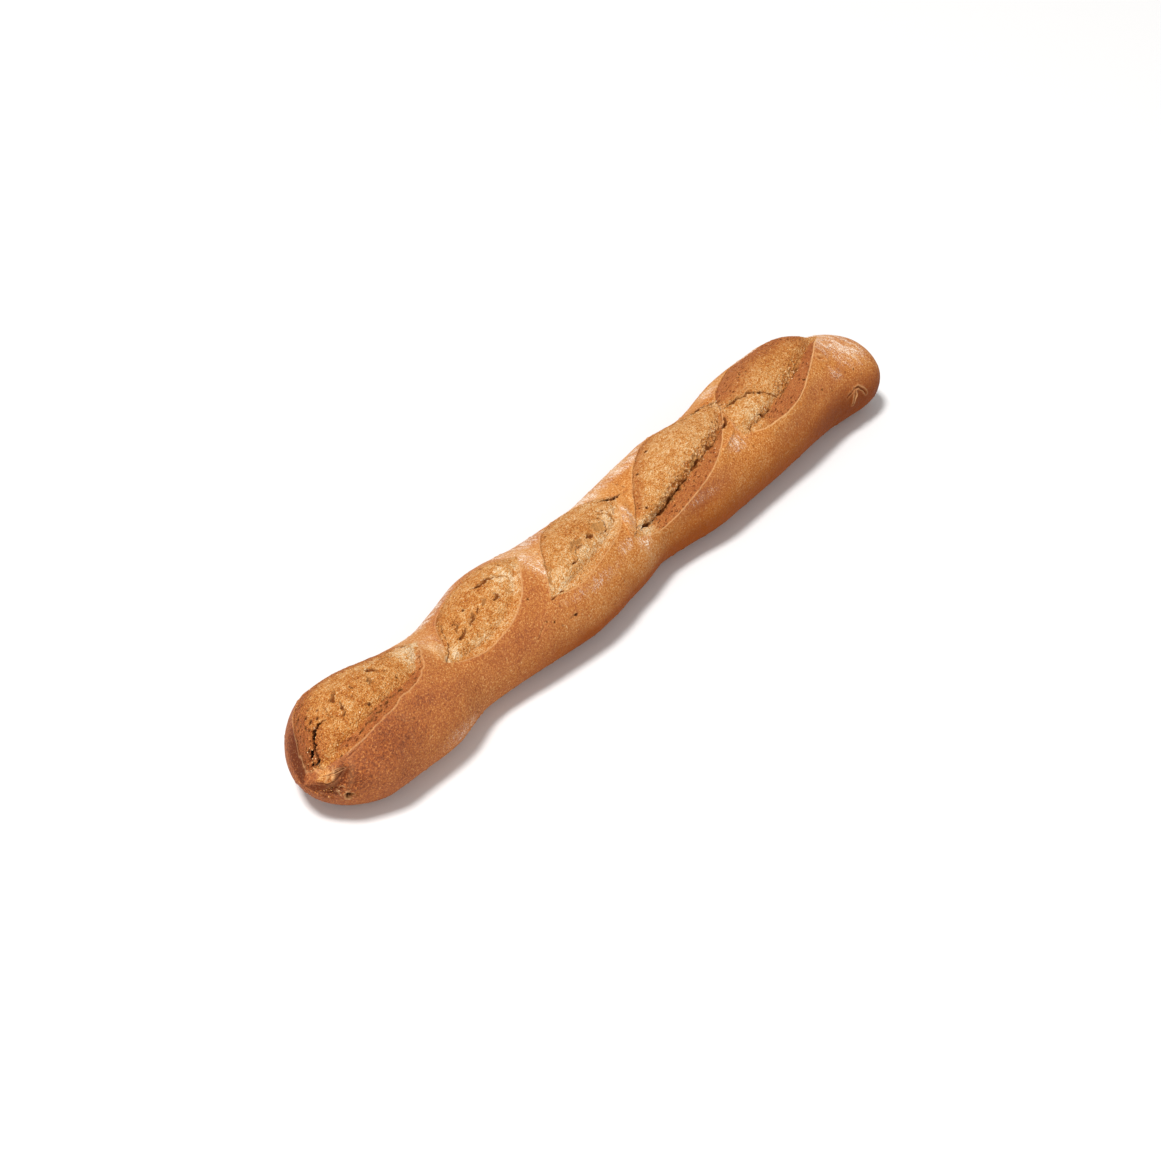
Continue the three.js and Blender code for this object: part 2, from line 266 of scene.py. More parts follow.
def distance_to(curve, at, around):
    """Distance of places to a curve, and how far along the curve the nearest point is."""
    nearest = np.full(at.shape, np.inf)
    share_along = np.zeros(at.shape)
    for k, ((x, y), (dx, dy)) in enumerate(zip(curve[:-1], np.diff(curve, axis=0))):
        share = np.clip(((at - x) * dx + (around - y) * dy) / (dx * dx + dy * dy), 0, 1)
        distance = np.hypot(at - x - share * dx, around - y - share * dy)
        closer = distance < nearest
        nearest = np.where(closer, distance, nearest)
        share_along = np.where(closer, (k + share) / (len(curve) - 1), share_along)
    return nearest, share_along


def is_inside(outline, at, around):
    """True where a place lies inside a closed outline."""
    inside = np.zeros(at.shape, bool)
    for (x0, y0), (x1, y1) in zip(outline, np.roll(outline, -1, axis=0)):
        if y0 != y1:
            crossing = x0 + (x1 - x0) * (around - y0) / (y1 - y0)
            inside ^= ((y0 > around) != (y1 > around)) & (at < crossing)
    return inside


def leaf_curves(score):
    """The front and the back edge of a leaf, as curves from tip to tip."""
    return [curve_through([score["start"], *score[edge], score["end"]], EDGE_STEPS)
            for edge in ("front", "back")]


lips = [np.hypot(*np.diff(leaf_curves(score)[0], axis=0).T).sum() for score in SCORES]
print("lips, mm along their curves:", [round(float(length)) for length in lips])

# %% [markdown]
# Nothing in bread is drawn with a ruler. A sheet of smooth random waves, laid over the
# crust, pushes every edge and crack a little to and fro. The waves come from a table of
# random numbers with a fixed seed, so the loaf is the same each time the script runs.

# %% Random waves
TABLE = 256  # random numbers each way
TABLE_START = (40, 400)  # where the first octave begins in the table
OCTAVE_SHIFT = (17, 31)  # how far on each finer octave begins
SEED = {  # each use draws its own table
    "leaf edge": 11, "valley": 21, "fine valley": 22, "valley width": 23, "crack": 31,
    "crack width": 33, "hole": 34, "crease": 35, "bubble": 41, "knob": 42, "bubble rim": 43,
    "broad crust": 51,
}


def waves(at, around, size, seed, octaves=3):
    """Smooth random waves of about plus or minus 1, each about size mm across."""
    table = np.random.default_rng(seed).uniform(-1, 1, (TABLE, TABLE))
    total = np.zeros(at.shape)
    for octave in range(octaves):
        step = size / 2 ** octave
        u = at / step + TABLE_START[0] + OCTAVE_SHIFT[0] * octave
        v = around / step + TABLE_START[1] + OCTAVE_SHIFT[1] * octave
        i, j = np.floor(u).astype(int), np.floor(v).astype(int)
        fu, fv = smooth(0, 1, u - i), smooth(0, 1, v - j)
        here_u, next_u, here_v, next_v = i % TABLE, (i + 1) % TABLE, j % TABLE, (j + 1) % TABLE
        near = table[here_u, here_v] * (1 - fu) + table[next_u, here_v] * fu
        far = table[here_u, next_v] * (1 - fu) + table[next_u, next_v] * fu
        total += (near * (1 - fv) + far * fv) * 0.5 ** octave
    return total


def shoved(at, around, reach, size, seed):
    """Places pushed about by random waves, so that what is read there comes out ragged."""
    return (at + reach * waves(at, around, size, seed),
            around + reach * waves(at, around, size, seed + 1))


crown = np.linspace(0, LENGTH, 500)
crown_waves = waves(crown, 0 * crown, 6, SEED["leaf edge"])
print("waves along the crown reach", round(float(np.abs(crown_waves).max()), 2))

# %% [markdown]
# ## Cracks
# As a leaf stretched, its skin broke. The breaks are narrow, steep and ragged, and the moist
# crumb shows at their bottom; that crumb is painted darker the deeper it lies, as painted shade.
# They could be painted, but a painted crack looks flat from the side, so each one is a real
# groove along a route of a few places. The valleys of the two deep leaves hold a crack each,
# made from the leaf's own front edge.

# %% Routes of the cracks


def groove(half, deep, *through, burnt=0.0, dark=1.0, rim=0.15):
    """A crack or crease: its half width, its depth, and the places it runs through."""
    return {"half": half, "deep": deep, "through": through, "burnt": burnt, "dark": dark,
            "rim": rim}


CRACKS = [
    # first leaf: the burnt tear round its left end, and the breaks in the golden skin
    groove(0.7, 2.6, (23, 0.5), (20.5, 4), (17.5, 5), (14.5, 4), (12, 0.5), (9.7, -5), (8, -10),
           burnt=1),
    groove(1.3, 2.2, (8.6, 0.5), (8, -3), burnt=1),
    groove(0.9, 1.8, (5.5, -6), (6, -8), burnt=1),
    groove(0.7, 1.4, (7.5, -11), (7, -13.5), burnt=1),
    groove(0.8, 1.6, (38.5, 9.5), (34, 7), (32.5, 3)),
    groove(0.9, 1.9, (34.5, 1.5), (31, -3.5), (27.5, -6.5)),
    groove(0.6, 1.2, (27, 7.5), (26, 1), (25.5, -5)),
    groove(0.9, 1.6, (44, 5.5), (44, 1.5)),
    groove(0.7, 1.0, (41, -2.5), (38, 0.5)),
    groove(2.0, 2.0, (55, 2.5), (52, -1.5), dark=0.6),
    groove(1.5, 1.8, (60, 8.5), (63.5, 5.5)),
    groove(0.9, 1.2, (64, 2.5), (66.5, 0.5)),
    groove(0.8, 1.2, (72, 13), (75.5, 12.5)),
    groove(1.0, 1.5, (75, 12.5), (79, 10.5)),
    groove(1.1, 1.4, (81, 18.5), (84.5, 16.5)),
    groove(0.9, 1.4, (88, 15), (94.5, 16.5)),
    # its face: short streaks
    groove(0.6, 1.0, (27, -19.8), (32, -19), burnt=0.5),
    groove(0.7, 1.1, (34, -18.3), (40, -17), burnt=0.5),
    groove(0.6, 1.0, (41, -17.3), (45, -16.4), burnt=0.5),
    groove(0.7, 1.0, (48, -16), (53, -14.8), burnt=0.5),
    groove(0.7, 1.0, (54, -14.2), (59, -13.4), burnt=0.5),
    groove(0.6, 0.9, (60, -13), (65, -11.8), burnt=0.4),
    groove(0.5, 0.8, (37, -15.2), (44, -14.2), burnt=0.4),
    groove(0.5, 0.8, (50, -12.8), (56, -12), burnt=0.4),
    # second leaf
    groove(0.8, 1.0, (159, 13), (162.5, 8.5), (164.5, 5), (166.5, 2), (166.5, -2.5), dark=0.4),
    groove(1.2, 2.2, (148.5, 11), (151.5, 8), (155.5, 7.5), (158.5, 7), (164.5, 2.5)),
    groove(0.9, 1.4, (168.5, 10), (171.5, 9)),
    groove(0.7, 1.0, (162, 19.5), (168.5, 21)),
    groove(1.0, 1.8, (148.5, -6), (152, -6), (153, -3.5)),
    groove(1.3, 1.6, (143.5, -3), (146.5, -1.5), dark=0.6),
    groove(1.2, 1.8, (137, -4.5), (140, -2.5)),
    groove(0.85, 2.2, (128, -7.3), (132, -4.5), (136, 0)),
    groove(0.8, 2.2, (120, -3.5), (125, 1.5), (130, 6)),
    groove(0.75, 1.8, (116.5, -6.5), (120, -7.5), (127, -5)),
    groove(0.7, 1.0, (123, 16), (117, 7), (112, -1)),
    groove(0.9, 1.5, (111, -4), (106, -9), (100, -12)),
    groove(1.3, 0.9, (159.5, -6), (162, -9), dark=0.3),
    # third leaf
    groove(0.6, 1.4, (225, 6), (229, 4.5), (230, 1)),
    groove(2.1, 0.9, (225.5, 2.5), (227, 1), dark=0.1),
    groove(1.5, 1.2, (209, -7.5), (213, -5.5), (217, -5.5), (223, -5), dark=0.5),
    groove(0.6, 1.8, (209.5, -9), (214, -8), (219, -7.5)),
    groove(1.3, 2.2, (226.5, -6.5), (231, -8)),
    groove(3.2, 1.2, (236, -3), (240, -5.5), (244, -5), dark=0.3),
    groove(0.6, 1.6, (237, 0.5), (243, 1.5), (247, -2), (246.5, -6), (241, -9.5), (233, -8)),
    groove(1.6, 1.5, (247, 3), (252, 0.5), (256, -3), (254, -7.5), dark=0.5),
    groove(0.6, 2.0, (250, 5), (256, 1)),
    groove(1.0, 1.7, (202, -15), (205.5, -13.7), (209, -12.3), dark=0.8),
    groove(0.7, 1.0, (193, -2), (190.5, -6), (184.5, -15.5), (179.5, -24.5), dark=0.5),
    groove(1.1, 1.6, (176.5, -26.3), (179.5, -26.5)),
    groove(0.8, 1.0, (182, -26), (184.5, -26)),
    groove(0.6, 1.2, (232, 25), (240, 25.5), (247, 25.5), (253, 23), burnt=0.3),
    groove(1.0, 1.8, (252, 22.5), (258, 20), (263, 15.5), burnt=0.4),
    groove(0.5, 1.2, (249, 19), (255, 16.5), (260, 12)),
    groove(1.2, 2.4, (260, 9.5), (268, 7.5), (272, 5), (276, 3), burnt=0.6),
    groove(0.6, 1.0, (277, 2.6), (284, 0.4)),
    # fourth leaf: pockets beside its long crack, and the torn skin behind its far tip
    groove(2.3, 1.3, (325, -15.5), (334, -12.5), dark=0.1),
    groove(1.8, 2.4, (306, -22), (311, -20)),
    groove(1.9, 1.8, (296, -24), (301, -23.5), dark=0.6),
    groove(2.0, 3.2, (362, -7), (371, -5), (376, -1.5), burnt=0.2),
    groove(1.6, 3.0, (369, 19), (373, 18), (378, 19.5), burnt=0.7),
    groove(1.3, 2.8, (378, 17), (383, 18), (387, 16), (391, 11.5), burnt=0.5),
    groove(0.9, 1.8, (380, 12.5), (385, 11), (388, 6.5), burnt=0.2),
    groove(1.1, 2.2, (374, 23), (380, 23), (385, 21), burnt=0.6),
    groove(0.7, 1.2, (352, 20.5), (361, 18), (370, 16)),
    # fifth leaf
    groove(1.0, 2.0, (384.5, 4), (390, 2.5), (394, 1.5), (398.5, -1.5), (403, -2), (408.5, -5.5),
           (412.5, -9.5), (416.5, -14), (420, -17.5)),
    groove(1.9, 1.8, (387, 3), (394, 1.3), (400, -1), dark=0.2),
    groove(1.1, 1.5, (394, -15.3), (399, -18.2)),
    groove(0.9, 1.3, (403, -17.8), (409, -19.5)),
    groove(1.0, 1.5, (381.5, -19.3), (385, -17.3)),
    groove(0.5, 0.8, (400, 4), (407, 0), (413, -3)),
]
# Round holes: place along, place round, radius.
HOLES = [
    (28.5, 31, 0.9), (26.5, 25.5, 1.0), (22, 27.5, 0.8), (19.5, 24.5, 1.1), (17.5, 26, 0.9),
    (14.5, 22, 0.8), (16.5, 19.5, 1.0), (20, 16.5, 1.1), (24, 17, 0.8), (11.5, 12.5, 0.9),
    (12.5, 17.5, 0.8), (16, 13.5, 0.9), (19, 11, 1.1), (15.5, 9.5, 0.9), (21.5, 7, 0.9),
    (25, 10, 0.7), (9, 7, 0.9), (8.5, 3.5, 0.9), (31, 22, 0.7), (15.3, -22.8, 0.9),
    (6.6, -15, 0.8), (43, -10, 1.0), (67, -5, 0.8), (134.5, 4.5, 0.9), (213.5, 15.5, 0.9),
    (318, 15, 1.3), (297.5, 5, 1.2), (278, -18.5, 1.1), (275, -15, 0.8), (371, 0.5, 0.9),
    (366, 1, 0.7), (447.5, -20, 1.3), (456, -17.5, 1.0), (415.5, 19, 1.0), (422.5, 23, 0.8),
    (185, -42.5, 1.2), (169.5, -39, 1.0), (165, -36, 0.8), (163.5, -18.5, 0.9),
    (496, -30, 0.9), (457, -32.5, 1.1), (466, -37.5, 0.7), (477, -31.5, 0.7),
]
CRACK_RAGGED, CREASE_RAGGED = 1.1, 0.6
CRACK_WIDTH = 0.9  # of the half widths above
CRACK_DEPTH = 0.8  # of the depths above
WALL_SHARE = 0.5  # share of a crack's half width that is its steep wall
CRUMBLY = 2.4  # how far beside a crack the skin is crumbly
HOLE_DEPTH = 0.7  # of the radii above
print("cracks:", len(CRACKS), "holes:", len(HOLES))

# %% [markdown]
# Where two leaves nearly met, a tongue of smooth skin was left standing between them. Here
# and there the skin also folded or wrinkled as the loaf grew, which shows as fine creases.

# %% Tongues and creases


def fold(half, high, *through):
    """A tongue or ridge: its half width, its height, and the places it runs through."""
    return {"half": half, "high": high, "through": through}


TONGUES = [
    fold(4.5, 0.8, (97, -10), (103, -1), (112, 8)),
    fold(5.5, 1.0, (256, -23), (263, -12), (275, 2)),
    fold(1.6, 0.8, (349, -20), (358, -17), (366, -14), (373, -11)),
    fold(4.0, 0.9, (374, -6), (381, -12), (390, -20)),
    fold(6.0, 1.0, (13, -12), (20, -4), (26, 3)),
]
CREASES = [
    groove(2.0, 1.0, (14, -27), (12, -34), (10, -45), (8, -52)),
    groove(0.6, 0.6, (9, -25), (7.5, -31), (6.5, -38.5), rim=0.9),
    groove(0.5, 0.5, (5, -28), (8, -31), (12.5, -32), rim=0.8),
    groove(0.6, 0.7, (6, -12.5), (5.5, -17), (6, -22), rim=0.6),
    groove(0.6, 0.6, (16, -26), (20, -25), (25, -24.2)),
    groove(0.7, 0.6, (2.5, -33), (5, -41), (8, -39), (11, -34), (15, -30)),
    groove(0.9, 0.9, (1, -59), (2, -69)),
    groove(0.5, 0.4, (47, -21), (52, -28), (57, -31)),
    groove(0.5, 0.35, (276, -38), (278, -46), (280, -56), (282, -74)),
    groove(0.9, 1.2, (488, -44.5), (494, -45), (500.5, -53.5), rim=0.7),
    groove(0.8, 0.9, (480, -49.5), (484, -47), (488, -44.5), rim=0.3),
    groove(0.8, 0.9, (486, -58), (487.5, -52), (488.5, -46), rim=0.9),
    groove(0.5, 0.6, (497, 4), (494, -1), (492, -5), rim=0.5),
    groove(0.8, 0.7, (469, -58), (462, -67)),
    groove(1.1, 0.8, (180, -43), (184, -42)),
    groove(0.6, 0.5, (164, -35), (158, -41), (154, -42)),
    groove(1.3, 1.3, (474.5, -13), (478, -14.5), rim=0.8),
    groove(0.7, 0.6, (100, -55), (104, -60)),
    # folds of the last leaf's torn skin, behind its far tip
    groove(0.8, 0.8, (452, 26), (474, 21.5), (489, 16.5), (499, 11)),
    groove(0.9, 0.8, (461, 21), (477, 17), (490, 12), (497, 7)),
    groove(0.7, 0.6, (468, 17), (480, 12.5), (491, 7)),
]
print("tongues:", len(TONGUES), "creases:", len(CREASES))

# %% [markdown]
# Other folds stand up instead: the pale arms of the knob at the left end, and the torn skin
# beside the burst bubble under it. One more is the floured edge of a tongue.

# %% Ridges
RIDGES = [
    fold(0.6, 0.6, (8.5, -29), (10, -28.5), (12, -30)),
    fold(0.6, 0.5, (8.5, -29), (7, -28.5), (5.5, -27)),
    fold(0.6, 0.6, (8.5, -29), (7.8, -33), (7.5, -38)),
    fold(0.5, 0.7, (7.8, -49), (9.5, -48.3), (10.2, -51)),
    fold(0.5, 0.7, (7.3, -51), (7.8, -57), (9, -64)),
    # the floured edge of the tongue of skin behind the third leaf
    fold(0.5, 0.5, (270.5, 4.5), (265.5, -0.5), (257.5, -11), (255, -18.5), (251.5, -25.5)),
]
print("ridges:", len(RIDGES))

# %% [markdown]
# The last leaf's torn skin swelled most behind, and from there it drops to its far tip. The
# left end has a story of its own: the dough was sealed there, so it has a small golden knob
# and, below it, a burst bubble with a pale rim and a flap of skin. Each of these is an oval
# spot: its place along and round the loaf, and its reach along and round.

# %% Swell, knob and burst bubble
SWELL = {"spot": (474, 24, 22, 20), "high": 2.5}
KNOB = {"spot": (6, -30, 3.4, 10), "high": 0.8}
BUBBLE = {"spot": (11.4, -61.5, 1.9, 6), "deep": 4.4, "rim": 0.5}
FLAP = {"spot": (10.3, -59, 0.9, 2.6), "high": 2.6}


def spot_distance(at, around, spot_at, spot_around, reach, reach_around):
    """Distance from the middle of an oval spot, 1 at its edge."""
    return np.hypot((at - spot_at) / reach, (around - spot_around) / reach_around)


# %% [markdown]
# The left end lay in the hottest corner of the oven and is the darkest. Flour from the
# proofing cloth stays where the crust was sheltered: between the leaves, behind them and at
# the far end.

# %% Browning along the loaf, flour and cream
BAKE_ALONG = [(0, 0.82), (40, 0.74), (95, 0.62), (180, 0.61), (230, 0.53), (470, 0.52),
              (535, 0.54)]
# Flank and foot darkening is partly browning on the oven floor and partly painted shade on the low
# front.
FLANK_ALONG = [(0, 0), (90, 0), (150, 0.1), (220, 0.5), (320, 0.95), (535, 1)]
FOOT_ALONG = [(120, 0), (150, 0.3), (190, 0.7), (270, 0.45), (330, 0.1), (535, 0)]
FLANK_BREADTH, FOOT_BREADTH = (24, 66), (50, 66)  # places round where they begin and are full
BACK_FLANK = 0.5  # how dark the back flank is against the front one
FLOUR_EVERYWHERE = 0.06
SPOTS = {  # oval spots as above, and the amount in their middle
    "flour": [
        (106, 6, 10, 16, 0.3), (128, 38, 34, 12, 0.9), (187, 2, 9, 22, 0.6),
        (85, -60, 22, 10, 0.4), (200, 28, 26, 14, 0.9), (208, -32, 36, 6, 0.35),
        (262, 28, 34, 13, 0.9),
        (262, -8, 7, 20, 0.7), (262, -31, 9, 12, 0.5), (245, -26, 12, 6, 0.4),
        (308, 27, 34, 12, 0.8), (316, -36, 22, 5, 0.3), (366, -20, 16, 8, 0.45),
        (380, -13, 9, 9, 0.35), (400, 28, 12, 10, 0.5), (504, -2, 26, 32, 0.7),
        (505, 22, 24, 24, 0.7), (520, 22, 14, 16, 2.0), (462, 36, 26, 10, 1.6),
        (478, -27, 8, 8, 0.4),
    ],
    "cream": [
        (92, 8, 18, 15, 1.3), (60, 12, 30, 8, 0.4), (34, -4, 8, 6, 0.3), (134, -18, 26, 5, 0.6),
        (168, 0, 16, 14, 1), (104, -12, 12, 7, 1), (228, -13, 34, 6, 0.6),
        (186, -20, 12, 10, 0.8), (252, -4, 16, 10, 0.8), (268, -27, 16, 8, 0.9),
        (330, -4, 40, 10, 0.1), (390, -12, 12, 9, 0.5), (386, 14, 10, 8, 0.4),
        (470, 6, 16, 8, 0.25), (8, -31, 4, 7, 0.3),
    ],
    "pale": [  # smooth skin that was sheltered from the heat
        (104, 20, 26, 26, 0.2), (188, 6, 16, 34, 0.18), (262, 4, 26, 46, 0.06),
        (103, -2, 8, 15, 0.34),
        (300, 40, 40, 14, 0.16), (400, 34, 30, 12, 0.15),
        (262, -48, 26, 16, 0.12), (225, -46, 60, 14, 0.06),
    ],
    "bake": [
        (4, 18, 18, 26, 0.42), (10, -44, 14, 16, 0.2), (4, -49, 7, 14, 0.4), (12, -35, 5, 8, 0.35),
        (40, -33, 30, 14, 0.12), (68, -25, 16, 7, 0.12), (90, -30, 20, 8, 0.08),
        (140, -38, 34, 12, 0.1),
        (318, -34, 36, 12, 0.16), (460, -32, 34, 11, 0.12), (128, 14, 16, 9, 0.2),
        (150, 6, 14, 5, 0.2), (232, 2, 18, 6, 0.2), (216, 8, 14, 8, 0.1),
        (350, 24, 30, 8, 0.2), (455, 6, 34, 22, 0.3), (420, -40, 34, 12, 0.1),
        # the last two deepen the low far flank: partly browning, partly painted shade
        (480, -58, 60, 24, 0.26), (520, -62, 18, 12, 0.3),
    ],
    "crag": [
        (382, 17, 12, 8, 1), (387, 3, 9, 5, 0.8), (268, 7, 10, 4, 0.8), (398, -17, 10, 4, 0.7),
        (8, 0, 4, 7, 1), (6, -9, 4, 7, 0.8), (6, -54, 4, 10, 0.7),
        (4, -72, 4, 10, 0.5), (470, -6, 14, 5, 0.4), (262, -25, 8, 4, 0.7),
        (320, -14, 36, 7, 0.35), (30, 0, 8, 7, 0.3),
    ],
}
print("spots:", {name: len(spots) for name, spots in SPOTS.items()})

# %% [markdown]
# ## Reading the crust, place by place
# Everything the loaf needs to know about a place on its crust is worked out in one go: how
# far it is from a lip or a back edge, how open the leaf is there, how near the next crack
# is, and how high the crust stands. The heights shape the mesh, and the other numbers are
# kept on it for the material.

# %% Marks, and how they are kept
# dark is how much the crumb in a crack or hole is painted dark, as painted shade
MARKS = ["height", "burnt", "leaf", "face", "lip_open", "wrinkle", "knob", "rim",
         "flour", "cream", "pale", "bake", "flank", "crag", "dark"]
GAPS = ["edge_gap", "lip_gap", "back_gap", "crack_depth"]
FAR = -9.0  # a gap's value far outside every leaf
TINY = 1e-6  # keeps a breadth from being nothing
NARROWEST = 0.05  # half width that a groove is reckoned to have at least
BURNT_REACH, DARK_REACH = (1.35, 0.9), (1.3, 0.8)  # in half widths: where they begin, are full


def keep_nearest(marks, name, box, gap):
    """Keeps the gap to the nearer edge, and says where the new gap is the nearer one."""
    closer = np.abs(gap) < np.abs(marks[name][box])
    marks[name][box] = np.where(closer, gap, marks[name][box])
    return closer


def keep_most(marks, name, box, values):
    """Keeps the larger of a mark and its new value."""
    marks[name][box] = np.maximum(marks[name][box], values)


def cut_groove(marks, box, distance, half, deep, burnt=0.0, dark=1.0):
    """A groove with steep walls, the crumb that shows in it and the crumbly skin beside it."""
    reach = distance / np.maximum(half, NARROWEST)
    marks["height"][box] -= deep * smooth(1, 1 - WALL_SHARE, reach)
    keep_most(marks, "crack_depth", box, np.maximum(half - distance, FAR))
    keep_most(marks, "burnt", box, burnt * smooth(*BURNT_REACH, reach))
    # painted shade: the crumb in the groove is painted darker by dark
    keep_most(marks, "dark", box, dark * smooth(*DARK_REACH, reach))
    keep_most(marks, "crag", box, 0.3 * deep * smooth(CRUMBLY, 0.3, distance - half)
              * smooth(0.1, 0.6, half))


# %% [markdown]
# A leaf is read in three steps: where a place lies on it, how high the leaf stands there, and
# what the material will ask about it. The two deep leaves get the crack in their valley too.

# %% One leaf


def survey_leaf(score, at, around):
    """Where places lie on a leaf: how far from its edges, how far along, and how wide it is."""
    x, y = shoved(at, around, score["ragged"], 6, SEED["leaf edge"])
    front, back = leaf_curves(score)
    to_front, along = distance_to(front, x, y)
    to_back, along_back = distance_to(back, x, y)
    inside = is_inside(np.vstack([front, back[-2:0:-1]]), x, y)
    width = np.where(inside, to_front + to_back, np.abs(to_front - to_back))
    return SimpleNamespace(to_front=to_front, along=along, to_back=to_back,
                           along_back=along_back, inside=inside, width=width,
                           is_open=smooth(TIP_WIDTH, FULL_WIDTH, width),
                           valley=np.interp(along, *np.transpose(score["strip"])) + TINY)


def leaf_height(score, leaf):
    """The lip and the crust that swells up to it, the torn face, valley, mound and back step."""
    step = BACK_STEP * bell(leaf.to_back, BACK_STEP_SLOPE)
    edge_fall = LIP_EDGE_FALL * np.clip(leaf.to_front / LIP_EDGE, 0, 1)
    fall = edge_fall + (1 - LIP_EDGE_FALL) * np.clip(leaf.to_front / leaf.valley, 0, 1)
    on_strip = score["lip"] - (score["lip"] + score["valley"]) * fall
    past_strip = -score["valley"] * bell(leaf.to_front - leaf.valley, VALLEY_SLOPE)
    behind = np.maximum(leaf.width - leaf.valley, TINY)
    across = np.clip((leaf.to_front - leaf.valley) / behind, 0, 1)
    mound = score["mound"] * np.sin(np.pi * across ** MOUND_FRONT)
    inner = np.where(leaf.to_front < leaf.valley, on_strip, past_strip) + mound - step
    outer = np.where(leaf.to_front < leaf.to_back,
                     score["lip"] * bell(leaf.to_front, LIP_OUTER_SLOPE),
                     BACK_RIM * bell(leaf.to_back - BACK_RIM_AWAY, BACK_STEP_SLOPE))
    rim = LIP_RIM * bell(leaf.to_front, LIP_RIM_WIDTH)
    return leaf.is_open * (np.where(leaf.inside, inner, outer) + rim)


def crack_valley(crack, leaf, at, around, marks, box):
    """The ragged crack along a valley, and the crumbly skin above it."""
    half, deep, begin, stop = crack
    ragged = 1.2 * waves(at, around, 16, SEED["valley"], 1)
    ragged = ragged + 0.8 * waves(at, around, 4, SEED["fine valley"], 2)
    off = np.abs(leaf.to_front - leaf.valley - ragged) + 50 * ~leaf.inside
    here = (smooth(begin, begin + FACE_FADE, leaf.along)
            * smooth(stop, stop - FACE_FADE, leaf.along) * smooth(0.1, 0.5, leaf.is_open))
    uneven = 0.75 + 1.2 * waves(at, around, 7, SEED["valley width"], 2)
    half = half * here * np.maximum(uneven, 0.05)
    cut_groove(marks, box, off, half, deep * here)
    above = (leaf.to_front - leaf.valley - 2.5) / 4
    keep_most(marks, "crag", box, leaf.inside * here * smooth(1.3, 0.2, np.abs(above)))


def mark_leaf(score, leaf, marks, box):
    """A leaf's edges, its torn skin, and its browned face and back, for the material."""
    side = np.where(leaf.inside, 1, -1)
    nearest = np.minimum(leaf.to_front, leaf.to_back)
    closer = keep_nearest(marks, "lip_gap", box, leaf.to_front * side)
    strong, begin = score["line"]
    lined = smooth(begin - 0.01, begin + 0.05, leaf.along)
    lined = lined * strong * smooth(0.02, 0.25, leaf.is_open)
    marks["lip_open"][box] = np.where(closer, lined, marks["lip_open"][box])
    keep_nearest(marks, "back_gap", box, leaf.to_back * side)
    keep_most(marks, "edge_gap", box, nearest * side)
    keep_most(marks, "leaf", box, leaf.inside * smooth(-0.3, 0.5, nearest))

    deep, begin = score["brown_face"]
    on_face = deep * smooth(1.15, 0.8, leaf.to_front / leaf.valley)
    on_face *= smooth(-FACE_FADE, FACE_FADE, leaf.along - begin)
    deep, begin, breadth = score["brown_back"]
    band = np.maximum(breadth * smooth(0, 30, leaf.width), 0.1)
    on_back = deep * smooth(1.2, 0.2, leaf.to_back / band)
    on_back *= smooth(-FACE_FADE, FACE_FADE, leaf.along_back - begin)
    keep_most(marks, "face", box, np.maximum(on_face, on_back) * leaf.inside * leaf.is_open)
    keep_most(marks, "wrinkle", box,
              leaf.inside * smooth(3, 10, leaf.to_front) * smooth(8, 26, leaf.width))


def read_leaf(score, at, around, marks, box):
    """Adds one leaf's height and marks at the places inside box."""
    leaf = survey_leaf(score, at, around)
    marks["height"][box] += leaf_height(score, leaf)
    if score["crack"]:
        crack_valley(score["crack"], leaf, at, around, marks, box)
    mark_leaf(score, leaf, marks, box)


# %% [markdown]
# Cracks, creases and folds all follow a route, and they fade out towards its two ends. What
# differs is whether they go down or up, how ragged they are, and what they show.

# %% Cracks, holes, tongues, creases and ridges
ROUTE_STEPS = 12
CRACK_TIP, CREASE_TIP, FOLD_TIP = 0.08, 0.06, 0.1  # shares of a route where its tip is blunt


def follow(route, at, around, tip):
    """Distance to a route, and how full the crack or fold still is there, from 0 to 1."""
    distance, along = distance_to(curve_through(route["through"], ROUTE_STEPS), at, around)
    return distance, np.sin(np.pi * np.clip(along, tip, 1 - tip)) ** 0.5


def read_crack(crack, at, around, marks, box):
    """Cuts one crack into the places inside box."""
    ragged = shoved(at, around, CRACK_RAGGED, 5, SEED["crack"])
    distance, taper = follow(crack, *ragged, CRACK_TIP)
    half = CRACK_WIDTH * crack["half"] * taper
    half = half * np.maximum(1 + 0.6 * waves(at, around, 4, SEED["crack width"], 2), 0.45)
    deep = CRACK_DEPTH * crack["deep"] * taper
    cut_groove(marks, box, distance, half, deep, crack["burnt"], crack["dark"])


def read_hole(hole, at, around, marks, box):
    """Sinks one round hole, painted dark and burnt inside as painted shadow."""
    hole_at, hole_around, radius = hole
    away = np.hypot(at - hole_at, around - hole_around)
    away = away * (1 + 0.25 * waves(at, around, 2, SEED["hole"]))
    reach = away / radius
    marks["height"][box] -= HOLE_DEPTH * radius * smooth(1.1, 0.4, reach)
    keep_most(marks, "crack_depth", box, np.maximum(radius - away, FAR))
    keep_most(marks, "dark", box, 1.0 * (reach < 1.3))
    keep_most(marks, "burnt", box, 0.5 * smooth(1.2, 0.8, reach))


def read_tongue(tongue, at, around, marks, box):
    """Raises a broad tongue of smooth skin."""
    distance, taper = follow(tongue, at, around, FOLD_TIP)
    marks["height"][box] += tongue["high"] * taper * smooth(1, 0.1, distance / tongue["half"])


